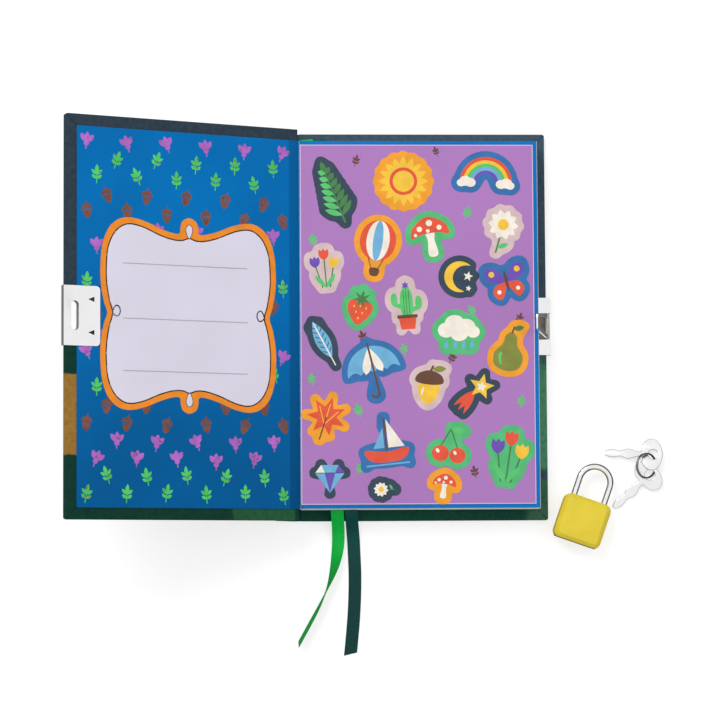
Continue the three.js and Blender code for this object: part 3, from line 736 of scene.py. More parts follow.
def petal(x, y, length, width, turn, belly=0.5, count=9):
    """A pointed leaf from its foot at x, y towards turn, in degrees; belly is where it is widest."""
    cos, sin = math.cos(math.radians(turn)), math.sin(math.radians(turn))
    side = []
    for k in range(count + 1):
        t = k / count
        rise = t / belly if t < belly else (1 - t) / (1 - belly)
        side.append((length * t, width / 2 * math.sin(rise * math.pi / 2) ** 0.9))
    outline = side + [(a, -b) for a, b in reversed(side[1:-1])]
    return [(x + a * cos - b * sin, y + a * sin + b * cos) for a, b in outline]


def star(x, y, outer, inner, points, turn=90.0):
    result = []
    for k in range(points * 2):
        result += arc(inner if k % 2 else outer, [turn + 180 * k / points], x, y)
    return result


def bow_band(x, y, inner, outer, start, end):
    """A part of a ring between two angles, in degrees."""
    degrees = [start + (end - start) * k / 18 for k in range(19)]
    return arc(outer, degrees, x, y) + arc(inner, reversed(degrees), x, y)


def stroke(start, end, width):
    """A straight bar from one point to another."""
    a, b = Vector(start), Vector(end)
    side = (b - a).orthogonal().normalized() * width / 2
    return [tuple(a + side), tuple(a - side), tuple(b - side), tuple(b + side)]


def blob(*points):
    """A smooth closed outline through the points."""
    count = len(points)
    outline = []
    for i in range(count):
        corners = [Vector(points[(i + k) % count]) for k in (-1, 0, 1, 2)]
        outline += [tuple(spline_point(*corners, step / BLOB_STEPS)) for step in range(BLOB_STEPS)]
    return outline


def polygon(*points):
    return list(points)


def disc(x, y, radius):
    return oval(x, y, radius, radius)


def enlarged(outline, size):
    return [(a * size, b * size) for a, b in outline]


# ---- Ribbons ----

# Each free end from where it leaves the block: across, past the tail, height over the table (None between
# the pages) and twist in degrees. Then how far from the block's low edge it leaves and where it starts.
RIBBON_ROUTES_MM = {
    "green": (
        [
            (0, 0.4, None, 0), (0.1, 2.25, 10.6, 0), (0.3, 4.55, 8.9, 0), (0.5, 6.75, 6.7, 2),
            (0.7, 9.15, 4.6, 5), (0.8, 11.95, 3, 9), (0.8, 15.35, 2.3, 15), (0.5, 19.15, 2.1, 24),
            (-0.1, 23.15, 2.3, 36), (-1, 27.35, 2.7, 50), (-2.2, 31.55, 3.1, 64), (-3.7, 35.85, 3.3, 78),
            (-5.5, 40.25, 3.4, 88), (-7.4, 44.35, 3.3, 84), (-9.3, 48.25, 3.3, 80), (-11.4, 52.15, 3.3, 78),
            (-13.5, 55.95, 3.3, 77), (-15.5, 59.55, 3.3, 77), (-17.5, 63.15, 3.3, 77),
            (-19.4, 66.55, 3.3, 77),
        ],
        17.5,
        3.5,
    ),
    "teal": (
        [
            (0, 0.4, None, 0), (0.2, 2.25, 10.4, 0), (0.4, 4.55, 8.3, 0), (0.6, 6.75, 5.7, 0),
            (0.9, 9.15, 3.4, 0), (1.2, 11.95, 1.7, 0), (1.5, 15.55, 0.8, 0), (1.7, 19.75, 0.4, 0),
            (1.9, 24.65, 0.3, 0), (2.1, 29.75, 0.3, 0), (2.1, 35.25, 0.3, 0), (2, 40.75, 0.3, 0),
            (1.8, 45.75, 0.3, 0), (1.5, 50.95, 0.3, 0), (1.1, 56.15, 0.3, 0), (0.6, 61.55, 0.3, 0),
            (0.1, 66.75, 0.3, 0), (-0.4, 71.35, 0.3, 0),
        ],
        24.3,
        10.3,
    ),
}
RIBBON_SLANT_MM = {"green": 2.6, "teal": -2.2}
RIBBON_COLUMNS = 12
# The ribbon's woven middle is thinner than its selvedges, and painted shade darkens it between two distances.
WEB_SHARE = 0.72
PAINTED_SHADE_MM = (10.0, 38.0)
PAINTED_SHADE_TONE = 0.55
SQUARE_CUT_MM = 0.01
ROUTE_STEPS, INSIDE_STEPS = 8, 40


def satin(name, colour, shade_tone):
    """Woven ribbon, darkened by painted shade past the first few centimetres to the tone that its third value
    gives.
    """
    material, graph, shader = new_material(name, colour, 0.42, Specular_IOR_Level=0.16)
    cloth = use_group(graph, weave_group(), {"Ribs": 15.0, "Picks": 11.0})
    tone = graph.blend(cloth["Share"], shifted(colour, 0.72), shifted(colour, 1.25))
    uv = graph.add("ShaderNodeUVMap", {"uv_map": "weave"}).outputs[0]
    along = graph.axes(uv)[1]
    # Painted shade: the ribbon darkens along its length, from full tone to the given tone.
    graph.colour(shader, graph.scaled(tone, graph.spread(along, *PAINTED_SHADE_MM, 1.0, shade_tone)))
    graph.gloss(shader, cloth["Share"], 0.36, 0.5)
    bump(graph, shader, cloth["Height"], 0.00004)
    return material


def ribbon_strip(points, turns, width, gauge, slant):
    """A flat ribbon with two thick selvedges, in the points' own units, its far end cut at a slant."""
    shape = bmesh.new()
    uv = shape.loops.layers.uv.new("weave")
    centres = [Vector(point) for point in points]
    walked = [0.0]
    for a, b in zip(centres, centres[1:]):
        walked.append(walked[-1] + (b - a).length)
    slant_from = walked[-1] * 0.8
    weave_at = {}
    sides = []
    for face_side in (1, -1):
        rows = []
        for i, centre in enumerate(centres):
            along = tangent(centres, i)
            level = along.cross(Vector((0, 0, 1))).normalized()
            across = Matrix.Rotation(turns[i], 3, along) @ level
            through = along.cross(across)
            row = []
            for k in range(RIBBON_COLUMNS + 1):
                share = 2 * k / RIBBON_COLUMNS - 1
                off = share * width / 2
                thick = gauge / 2 * (1.0 if abs(share) > 0.9 else WEB_SHARE)
                short = -abs(slant) * (0.5 + 0.5 * share * math.copysign(1, slant))
                pull = max(0.0, (walked[i] - slant_from) / (walked[-1] * 0.2)) * short
                vert = shape.verts.new(centre + across * off + through * (thick * face_side) + along * pull)
                weave_at[vert] = (off, walked[i] + pull)
                row.append(vert)
            rows.append(row)
        sides.append(list(zip(*rows)))
    close_sheet(shape, *sides)
    for face in shape.faces:
        for loop in face.loops:
            loop[uv].uv = weave_at[loop.vert]
    return shape


class DIARY_OT_ribbons(bpy.types.Operator):
    """Two satin ribbons between the middle pages, their free ends hanging past the tail"""

    bl_idname = "diary.ribbons"
    bl_label = "Ribbons"

    def execute(self, context):
        made = context.scene.diary_ribbon
        low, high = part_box("green_ribbon_inside")
        level = (low.z + high.z) / 2
        width_mm, gauge_mm = made.width / MM, made.gauge / MM
        for name, (route, tail_mm, head_mm) in RIBBON_ROUTES_MM.items():
            colour = tuple(getattr(made, name))
            exit_x, head_x = (BLOCK_LOW.x + off_mm * MM for off_mm in (tail_mm, head_mm))
            coarse = []
            for x, past, height, twist in route:
                z = level if height is None else height * MM
                coarse.append((exit_x + x * MM, BLOCK_LOW.y - past * MM, z, math.radians(twist)))
            places = smooth_open([place[:3] for place in coarse], ROUTE_STEPS)
            twists = [point.x for point in smooth_open([(place[3], 0, 0) for place in coarse], ROUTE_STEPS)]
            path_mm = [place / MM for place in places]
            strip = ribbon_strip(path_mm, twists, width_mm, gauge_mm, RIBBON_SLANT_MM[name])
            length = sum((b - a).length for a, b in zip(places, places[1:]))

            def declare(item, places=places, length=length):
                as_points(places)
                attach(item, "text_block")

            def lay(piece, strip, material, replaced, declare=None):
                shape, slot = placed(strip, Matrix.Identity(4)), "ribbon_" + name
                finished(piece, shape, [material], "text_block", [replaced], declare=declare)

            lay(name + "_ribbon_end", strip, satin(name + "_satin", colour, PAINTED_SHADE_TONE), name + "_ribbon", declare)
            start = Vector((head_x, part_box(name + "_ribbon_inside")[1].y, level))
            finish = Vector((exit_x, BLOCK_LOW.y, level))
            inside = [(start + (finish - start) * k / INSIDE_STEPS) / MM for k in range(INSIDE_STEPS + 1)]
            strip = ribbon_strip(inside, [0.0] * len(inside), width_mm, gauge_mm, SQUARE_CUT_MM)
            kept = satin(name + "_satin_inside", colour, 1.0)
            lay(name + "_ribbon_between_pages", strip, kept, name + "_ribbon_inside")
        return {"FINISHED"}


# ---- Stage ----

CAMERA_PLACE = (-0.104, -0.1283, 1.455)
CAMERA_TURN_DEG = (4.41, -2.78, -0.15)
SENSOR_MM = 36.0
CLIP = (0.05, 50.0)
FLOOR_SIZE = 4.0
FLOOR_DROP = 0.00005
# How bright the table is for bounced light, in mirrors and for the camera, and the camera's own glow.
FLOOR_SHADE, FLOOR_MIRRORED, FLOOR_SEEN, FLOOR_GLOW = 0.86, 0.2, 0.42, 0.68
# Name, place, diameter, share of the lamp's power, and whether it shows in mirrors.
LAMPS = (
    ("lamp_left", (-0.75, 0.95, 1.35), 0.9, 1.0, True),
    ("lamp_right", (1.2, 0.3, 1.6), 1.3, 0.3, False),
)
# The sky in mirrors: dark low down and full above, with a darker strip between two rises to the right.
SKY_RISE, SKY_LOW = (0.12, 0.66), 0.05
STRIP_HEADING, STRIP_RISE, STRIP_DEPTH = (0.2, 0.5), (0.62, 0.5), 0.92


def grey(level):
    return (level, level, level)


def ray_kinds(graph):
    """Whether a ray is seen by the camera, and whether it comes from a mirror."""
    light_path = graph.add("ShaderNodeLightPath").outputs
    seen = graph.math("MAXIMUM", light_path["Is Camera Ray"], light_path["Is Transmission Ray"])
    return seen, light_path["Is Glossy Ray"]


class DIARY_OT_stage(bpy.types.Operator):
    """Camera over the table, a white floor and soft even light"""

    bl_idname = "diary.stage"
    bl_label = "Stage"

    def execute(self, context):
        settings = context.scene.diary_stage
        camera = bpy.data.cameras.new("camera")
        camera.lens = settings.lens
        camera.sensor_width = SENSOR_MM
        camera.clip_start, camera.clip_end = CLIP
        viewer = new_object("camera", camera)
        across, forward, roll = CAMERA_TURN_DEG
        turn = turned(across, "X") @ turned(forward, "Y") @ turned(roll, "Z")
        viewer.matrix_world = Matrix.Translation(CAMERA_PLACE) @ turn
        context.scene.camera = viewer
        context.scene.view_settings.view_transform = "Standard"
        self.floor()
        self.lamps(settings)
        self.sky(context, settings)
        return {"FINISHED"}

    def floor(self):
        """A white table, which isn't part of the object."""
        shape = bmesh.new()
        bmesh.ops.create_grid(shape, x_segments=8, y_segments=8, size=FLOOR_SIZE)
        mesh = bpy.data.meshes.new("table")
        shape.to_mesh(mesh)
        shape.free()
        table = new_object("table", mesh)
        table.location = (0, 0, -FLOOR_DROP)
        material, graph, shader = new_material("table_white", grey(FLOOR_SHADE), 0.9)
        seen, mirrored = ray_kinds(graph)
        shade = graph.blend(mirrored, grey(FLOOR_SHADE), grey(FLOOR_MIRRORED))
        graph.colour(shader, graph.blend(seen, shade, grey(FLOOR_SEEN)))
        glow = {"Color": grey(1), "Strength": graph.math("MULTIPLY", seen, FLOOR_GLOW)}
        emission = graph.add("ShaderNodeEmission", None, glow)
        total = graph.add("ShaderNodeAddShader", None, {0: shader.outputs[0], 1: emission.outputs[0]})
        output = material.node_tree.nodes["Material Output"]
        graph.feed(output.inputs["Surface"], total.outputs[0])
        mesh.materials.append(material)

    def lamps(self, settings):
        """Two large soft discs that face the origin."""
        for name, place, size, share, shows in LAMPS:
            light = bpy.data.lights.new(name, "AREA")
            light.shape = "DISK"
            light.size = size
            light.energy = settings.lamp * share
            lamp = new_object(name, light)
            lamp.visible_glossy = shows
            aim = -Vector(place)
            lamp.matrix_world = Matrix.Translation(place) @ aim.to_track_quat("-Z", "Y").to_matrix().to_4x4()

    def sky(self, context, settings):
        """White for the camera, even for bounced light and shaded in mirrors."""
        world = bpy.data.worlds.new("white_room")
        context.scene.world = world
        world.use_nodes = True
        graph = Graph(world.node_tree)
        background = world.node_tree.nodes["Background"]
        heading, _, rise = graph.axes(graph.add("ShaderNodeTexCoord").outputs["Generated"])
        room = graph.spread(rise, *SKY_RISE, SKY_LOW, 1.0)
        strip = graph.math("MULTIPLY", graph.spread(heading, *STRIP_HEADING), graph.spread(rise, *STRIP_RISE))
        room = graph.math("MULTIPLY", room, graph.math("MULTIPLY_ADD", strip, -STRIP_DEPTH, 1.0))
        seen, mirrored = ray_kinds(graph)
        plain = graph.math("MULTIPLY", graph.math("SUBTRACT", 1.0, mirrored), settings.sky)
        level = graph.math("ADD", plain, graph.math("MULTIPLY", mirrored, room))
        graph.feed(background.inputs["Color"], grey(1))
        graph.feed(background.inputs["Strength"], graph.math("MAXIMUM", level, seen))


# ---- Covers, spine and lining ----


def paint_node(name, material):
    """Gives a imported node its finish."""
    node = frame["nodes"][name]
    for slot in node.material_slots:
        slot.material = material


WELD = 0.000002
WRAP_ROUNDING = 0.0004


def soften(name, width):
    """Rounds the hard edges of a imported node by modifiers, its own mesh unchanged."""
    node = frame["nodes"][name]
    weld = node.modifiers.new("weld", "WELD")
    weld.merge_threshold = WELD
    rounding = node.modifiers.new("rounding", "BEVEL")
    rounding.width = width
    rounding.segments = 2
    rounding.limit_method = "ANGLE"
    rounding.angle_limit = math.radians(ROUNDED_DEG)
    rounding.harden_normals = False
    smooth = node.modifiers.new("smooth", "WEIGHTED_NORMAL")
    smooth.keep_sharp = True


# Painted light: the back cover's and spine's print is lightened to make up for the shade that the block casts
# on them.
BACK_PAINTED_LIGHT_GAIN = 1.75


def print_inks(colours, turn, gain):
    """The values that the cover print group asks for."""
    names = ("slate", "green", "leaf", "meadow", "moss", "ochre")
    inks = {key.capitalize(): shifted(tuple(getattr(colours, key)), gain) for key in names}
    inks["Turn"] = turn
    return inks


class DIARY_OT_covers(bpy.types.Operator):
    """Finishes of the boards, their printed wraps, the spine and its lining"""

    bl_idname = "diary.covers"
    bl_label = "Covers"

    def execute(self, context):
        colours = context.scene.diary_cover
        board = paper("greyboard", tuple(colours.board), 0.12, 0.9)
        paint_node("front_cover_wrap", self.cover_paper("cover_paper_front", colours, OPEN_ANGLE, 1.0))
        # The back cover and the spine get a copy of the print lightened by painted light.
        for name in ("back_cover_wrap", "spine_wrap"):
            paint_node(name, self.cover_paper(name.replace("wrap", "paper"), colours, 0.0, BACK_PAINTED_LIGHT_GAIN))
        for name in ("back_cover_board", "front_cover_board"):
            paint_node(name, board)
        paint_node("spine_board", bpy.data.materials["spine_paper"])
        for name in ("back_cover_wrap", "front_cover_wrap"):
            soften(name, WRAP_ROUNDING)
        paint_node("spine_lining", paper("lining_cloth", paint(240, 238, 230), 0.06, 0.9))
        return {"FINISHED"}

    def cover_paper(self, name, colours, turn, gain):
        """Printed and coated paper with painted shade along the folds of its corners; turn lays an opened
        cover flat again for those folds, and gain lightens the print as painted light.
        """
        printed, graph, shader = new_material(name, tuple(colours.slate), 0.46, Specular_IOR_Level=0.09)
        area = use_group(graph, cover_print_group(), print_inks(colours, turn, gain))
        graph.colour(shader, area["Colour"])
        worn = graph.grain(1500.0, 60.0)
        graph.gloss(shader, worn["Share"], 0.4, 0.55)
        height = graph.math("MULTIPLY_ADD", area["Fold"], -3.0, worn["Height"])
        bump(graph, shader, height, 0.00003)
        return printed


# ---- Endpapers ----


# The three motifs of the print, each a list of outlines with their values.
MOTIFS = {
    "sprigs": [
        (stroke, (0, -4.2), (0, 0.8), 0.5),
        (petal, 0, 0.3, 4.3, 1.9, 90),
        (petal, 0.1, -0.2, 3.5, 1.6, 42), (petal, -0.1, -0.2, 3.5, 1.6, 138),
        (petal, 0.1, -2.0, 2.9, 1.6, 34), (petal, -0.1, -2.0, 2.9, 1.6, 146),
    ],
    "blossoms": [
        *((petal, 0, -1.4, 5.2, 2.4, angle, 0.6) for angle in (52, 90, 128)),
        (oval, 0, -1.7, 1.3, 1.0),
        (stroke, (0, -4.3), (0, -1.8), 0.5),
    ],
    "acorns": [
        (blob, (-1.9, -0.4), (-1.6, -2.4), (0, -4.1), (1.6, -2.4), (1.9, -0.4), (0, -0.1)),
        (blob, (-2.6, 0.0), (-2.2, 1.8), (0, 2.7), (2.2, 1.8), (2.6, 0.0), (0, 0.5)),
        (stroke, (0, 2.4), (0.5, 4.0), 0.55),
    ],
}
PRINT_MARGIN_MM = 4.9
MOTIF_SIZE = 1.02
# How far a motif strays from its row, how far it leans, and how much each of its layers lies above the last.
STRAY_MM, LEAN_DEG, LAYER_MM = 0.7, 24, 0.002
SUNK_MM = 0.01
# How far the front page's print stays short of its page's inner edge.
FRONT_PRINT_SHORT_MM = 0.6
# The ground that carries no print: half the size under the label, and beside the fore-edge's fittings.
LABEL_KEEP_MM = (38, 36)
FITTINGS_KEEP_MM = (14, 18)


def printed_page(name, page, low_mm, high_mm, skip, body, inks, settings, seed):
    """Half-drop rows of the three motifs on a page, each ink one piece."""
    picks = random.Random(seed)
    gauge = settings.ink_gauge / MM + SUNK_MM
    motifs = [
        [cut_sheet([enlarged(outline(*values), MOTIF_SIZE)], gauge) for outline, *values in motif]
        for motif in MOTIFS.values()
    ]
    layers = [bmesh.new() for _ in motifs]
    column, row = settings.column_pitch / MM, settings.row_pitch / MM
    left, right = low_mm[0] + PRINT_MARGIN_MM, high_mm[0] - PRINT_MARGIN_MM
    row_count = int((high_mm[1] - low_mm[1] - 2 * PRINT_MARGIN_MM) // row) + 1
    column_count = int((high_mm[0] - low_mm[0] - 2 * PRINT_MARGIN_MM) // column) + 1
    start_y = (low_mm[1] + high_mm[1] - (row_count - 1) * row) / 2
    for r in range(row_count):
        kind = (r // 2) % 3
        shift = column / 2 * (r % 2) + column / 4 * (r // 2 % 2)
        for c in range(-1, column_count + 1):
            x = left + c * column + shift
            y = start_y + r * row + picks.uniform(-STRAY_MM, STRAY_MM)
            lean = picks.uniform(-LEAN_DEG, LEAN_DEG)
            if not left <= x <= right or skip(x, y):
                continue
            turn = turned(lean, "Z")
            for k, part in enumerate(motifs[kind]):
                add_shape(layers[kind], part, Matrix.Translation((x, y, LAYER_MM * k - SUNK_MM)) @ turn)
    for ink_name, layer, material in zip(MOTIFS, layers, inks):
        if layer.verts:
            finished(name + "_" + ink_name, placed(layer, page), [material], body)
    for part in sum(motifs, []):
        part.free()


class DIARY_OT_endpapers(bpy.types.Operator):
    """Blue endpapers with a scattered print, pasted to both boards and at both ends of the block"""

    bl_idname = "diary.endpapers"
    bl_label = "Endpapers"

    def execute(self, context):
        settings = context.scene.diary_paper
        blue = self.shaded_endpaper(tuple(settings.endpaper), context.scene.diary_cover)
        for name in ("front_cover_pastedown", "back_cover_pastedown"):
            paint_node(name, blue)
        earth = tuple(settings.acorn)
        inks = [
            flecked_ink("print_green", tuple(settings.sprig), shifted(earth, 1.2)),
            flecked_ink("print_violet", tuple(settings.blossom), shifted(earth, 1.1)),
            flecked_ink("print_brown", earth, shifted(earth, 0.6)),
        ]
        for name in ("front_flyleaf", "back_flyleaf"):
            paint_node(name, paper(name + "_coated", tuple(settings.endpaper), 0.1, 0.5))
        edge_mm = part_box("back_cover_pastedown")[1].x / MM
        low_mm, high_mm = to_mm(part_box("front_flyleaf"))
        reach = edge_mm - low_mm[0]
        centre = Vector(LABEL_CENTRE_MM)

        def under_label(x, y):
            return abs(x - centre.x) < LABEL_KEEP_MM[0] and abs(y - centre.y) < LABEL_KEEP_MM[1]

        def at_fittings(x, y):
            return x > edge_mm - FITTINGS_KEEP_MM[0] and abs(y) < FITTINGS_KEEP_MM[1]

        def nowhere(x, y):
            return False

        front_high = (reach - FRONT_PRINT_SHORT_MM, high_mm[1])
        pages = [
            ("front_pastedown", FRONT_PAGE, (0, low_mm[1]), front_high, under_label, "front_cover"),
            ("flyleaf", FLYLEAF_PAGE, low_mm, high_mm, nowhere, "flyleaf"),
            ("back_flyleaf", UNDER_PAGE, low_mm, high_mm, nowhere, "text_block"),
            ("back_pastedown", BACK_PAGE, low_mm, (edge_mm, high_mm[1]), at_fittings, "back_cover"),
        ]
        for seed, (name, page, low, high, skip, body) in enumerate(pages):
            printed_page(name, page, low, high, skip, body, inks, settings, seed)
        return {"FINISHED"}

    def shaded_endpaper(self, colour, cover_colours):
        """Coated blue paper with painted shade where it bends in the joint and towards the tail; its outer
        side has the cover's print.
        """
        material, graph, shader = new_material("endpaper_blue_coated", colour, 0.5, Specular_IOR_Level=0.06)
        worn = graph.grain(2400.0, 26.0)
        across, along, _ = graph.axes(graph.place())
        tone = graph.blend(worn["Share"], shifted(colour, 0.9), shifted(colour, 1.1))
        # Painted shade: the blue darkens in the joint's crease, and towards the tail below.
        inside = graph.spread(graph.apart(across, -JOINT_MIDDLE), JOINT_HALF_WIDTH, JOINT_HALF_WIDTH * 0.72)
        bent = graph.blend(graph.math("MULTIPLY", inside, 0.8), tone, shifted(colour, 0.62))
        printed = graph.scaled(bent, graph.spread(along, *TAIL_PAINTED_SHADE, 0.62, 1.0))
        outer = use_group(graph, cover_print_group(), print_inks(cover_colours, OPEN_ANGLE, 1.0))
        facing = graph.axes(graph.add("ShaderNodeTexCoord").outputs["Normal"])[2]
        outside = graph.math("LESS_THAN", facing, OUTSIDE_FACING)
        graph.colour(shader, graph.blend(outside, printed, outer["Colour"]))
        graph.gloss(shader, worn["Share"], 0.44, 0.56)
        bump(graph, shader, worn["Height"], PAPER_DEPTH)
        return material


# ---- Label ----

LABEL_CENTRE_MM = (57.4, 1.9)
LABEL_OUTER_MM = [
    (42.2, 0), (43.9, 5.5), (45.4, 14), (45.6, 22), (44.7, 31.5), (41.9, 39.2), (37.2, 43.9), (31.4, 45.5),
    (23.6, 44.2), (14.5, 40.7), (7.6, 38.9), (4.9, 39.3), (4.6, 41.8), (3.5, 45.0), (0, 46.6),
]
LABEL_INNER_MM = [
    (39.4, 0), (41.0, 6), (42.4, 14), (42.6, 22), (41.8, 30.4), (39.2, 36.9), (35.3, 40.9), (30.6, 42.4),
    (23.8, 41.2), (15.0, 37.7), (8.2, 35.9), (3.6, 35.8), (0, 36.9),
]
TEARDROP_MM = [
    (0, 36.9), (1.2, 39.0), (1.6, 41.2), (0.9, 42.8), (0, 43.2), (-0.9, 42.8), (-1.6, 41.2), (-1.2, 39.0),
]
LABEL_SUNK_MM = 0.05
LINE_GAUGE_MM = 0.02
WRITING_LEVELS_MM = (23.7, -2.3, -27.0)
WRITING_START_MM = -33.6
WRITING_LENGTH_MM = 65
DOT_RADIUS_MM, DOT_SIDES = 0.27, 8
# How far the teardrops and the dots lie below the drawn lines.
DROPS_BELOW_MM, DOTS_BELOW_MM = 0.012, 0.005
CURL_MM = [(39.3, 0.2), (38.6, 2.6), (37.2, 3.6), (35.8, 2.4), (35.6, 0.3), (36.6, -1.3), (38.0, -1.2)]


def mirrored(quarter):
    """A closed outline from its quarter, which starts on the X axis and ends on the Y axis."""
    upper = quarter + [(-x, y) for x, y in reversed(quarter[:-1])]
    return upper + [(x, -y) for x, y in reversed(upper[1:-1])]


def drawn_line(points_mm, width_mm):
    """A closed line of the printed gauge along points."""
    half = width_mm / 2
    section = [(-half, 0), (half, 0), (half, LINE_GAUGE_MM), (-half, LINE_GAUGE_MM)]
    return sweep([(x, y, 0) for x, y in points_mm], section, closed=True)


class DIARY_OT_label(bpy.types.Operator):
    """The scalloped writing label on the inside of the front cover, with dotted lines and no words"""

    bl_idname = "diary.label"
    bl_label = "Label"

    def execute(self, context):
        settings = context.scene.diary_label
        orange = ink("label_orange", tuple(settings.border), 0.4)
        dark = ink("label_line", tuple(settings.line), 0.5)
        plain = {"rough_vary": 0.0, "grain": 2400.0, "drift": 30.0, "depth": INK_DEPTH}
        panel = surface("label_panel", tuple(settings.panel), 0.03, 0.5, **plain)
        gauge = context.scene.diary_paper.ink_gauge / MM
        over = LABEL_SUNK_MM + 2 * gauge
        outer = blob(*mirrored(LABEL_OUTER_MM))
        inner = blob(*mirrored(LABEL_INNER_MM))
        self.lay("label_band", cut_sheet([outer, inner], LABEL_SUNK_MM + gauge), gauge, orange)
        self.lay("label_panel", cut_sheet([inner], LABEL_SUNK_MM + gauge), gauge, panel)
        width = settings.line_width / MM
        lines = drawn_line(inner, width)
        drops = bmesh.new()
        for flip in (1, -1):
            drop = [(x, y * flip) for x, y in blob(*TEARDROP_MM)]
            curl = [(x * flip, y) for x, y in blob(*CURL_MM)]
            for outline in (drop, curl):
                part = drawn_line(outline, width)
                add_shape(lines, part, Matrix.Identity(4))
                part.free()
            stamp(drops, [drop], LINE_GAUGE_MM)
        self.lay("label_teardrops", drops, over - DROPS_BELOW_MM, panel)
        self.lay("label_lines", lines, over, dark)
        dots = bmesh.new()
        dot = cut_sheet([oval(0, 0, DOT_RADIUS_MM, DOT_RADIUS_MM, count=DOT_SIDES)], LINE_GAUGE_MM)
        pitch = settings.dot_pitch / MM
        for level in WRITING_LEVELS_MM:
            for k in range(int(WRITING_LENGTH_MM / pitch)):
                add_shape(dots, dot, Matrix.Translation((WRITING_START_MM + k * pitch, level, 0)))
        dot.free()
        self.lay("label_dots", dots, over - DOTS_BELOW_MM, ink("label_dots", paint(58, 54, 60)))
        return {"FINISHED"}

    def lay(self, name, shape, height_mm, material):
        """Places a part of the label on the page, its lower side sunk into the paper."""
        place = Vector((*LABEL_CENTRE_MM, height_mm - LABEL_SUNK_MM)) * MM
        lifted = FRONT_PAGE @ Matrix.Translation(place)
        finished(name, placed(shape, lifted), [material], "front_cover")


# ---- Pages ----

SIGNATURES = 8
LEAVES_IN_SIGNATURE = 12
# Where a leaf starts and ends in its share of the height, with a gap to the next.
LEAF_SHARE = (0.04, 0.96)
# How far a leaf stands past the block at the tail and the fore-edge, and short of it at the head.
TAIL_RAGGED, FORE_RAGGED, HEAD_RAGGED = (0.0001, 0.0004), (0.00012, 0.00038), (0, 0.0001)


class DIARY_OT_pages(bpy.types.Operator):
    """The block's leaves in eight signatures of a dozen, with slightly uneven cut edges"""

    bl_idname = "diary.pages"
    bl_label = "Pages"

    def execute(self, context):
        colour = tuple(context.scene.diary_paper.page)
        material, graph, shader = new_material("writing_paper", colour, 0.85)
        edges = use_group(graph, leaf_edge_group())
        graph.colour(shader, graph.blend(edges["Share"], shifted(colour, 0.86), colour))
        bump(graph, shader, graph.grain(2600.0, 40.0)["Height"], PAPER_DEPTH)
        picks = random.Random(11)
        for number in range(1, SIGNATURES + 1):
            node = f"signature_{number}"
            low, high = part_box(node)
            body = "front_pages" if number <= SIGNATURES / 2 else "text_block"
            shape = bmesh.new()
            pitch = (high.z - low.z) / LEAVES_IN_SIGNATURE
            for k in range(LEAVES_IN_SIGNATURE):
                middle = abs(k + 0.5 - LEAVES_IN_SIGNATURE / 2) / (LEAVES_IN_SIGNATURE / 2)
                inset = (1 - math.sqrt(1 - middle * middle)) * (high.z - low.z) / 2
                tail = low.y - picks.uniform(*TAIL_RAGGED)
                fore = high.x + picks.uniform(*FORE_RAGGED)
                head = high.y - picks.uniform(*HEAD_RAGGED)
                bottom, top = (low.z + pitch * (k + share) for share in LEAF_SHARE)
                add_block(shape, Vector((low.x + inset, tail, bottom)), Vector((fore, head, top)))
            finished(f"leaves_{number}", shape, [material], body, [node])
        return {"FINISHED"}


def add_block(shape, low, high):
    made = bmesh.ops.create_cube(shape, size=1.0)
    scale = Matrix.Diagonal((*(high - low), 1.0))
    matrix = Matrix.Translation((low + high) / 2) @ scale
    bmesh.ops.transform(shape, verts=made["verts"], matrix=matrix)


# ---- Sheet of stickers ----


HALO_POINTS = 132
# How much each neighbour counts where a halo's outline is evened out.
HALO_WEIGHTS = ((-2, 1), (-1, 2), (0, 3), (1, 2), (2, 1))


def halo(outlines, border):
    """The outline that keeps a border's distance outside the outlines, seen from their middle."""
    points = [Vector(point) for outline in outlines for point in outline]
    low = Vector((min(p.x for p in points), min(p.y for p in points)))
    high = Vector((max(p.x for p in points), max(p.y for p in points)))
    centre = (low + high) / 2
    angles = [FULL_TURN * k / HALO_POINTS for k in range(HALO_POINTS)]
    reaches = []
    for angle in angles:
        ray = Vector((math.cos(angle), math.sin(angle)))
        best = border
        for point in points:
            arm = point - centre
            along = arm.dot(ray)
            off = arm.x * ray.y - arm.y * ray.x
            if abs(off) < border and along > -border:
                best = max(best, along + math.sqrt(border * border - off * off))
        reaches.append(best)
    total = sum(weight for _, weight in HALO_WEIGHTS)
    rim = []
    for k, angle in enumerate(angles):
        reach = sum(reaches[(k + j) % HALO_POINTS] * weight for j, weight in HALO_WEIGHTS) / total
        rim.append((centre.x + reach * math.cos(angle), centre.y + reach * math.sin(angle)))
    return rim


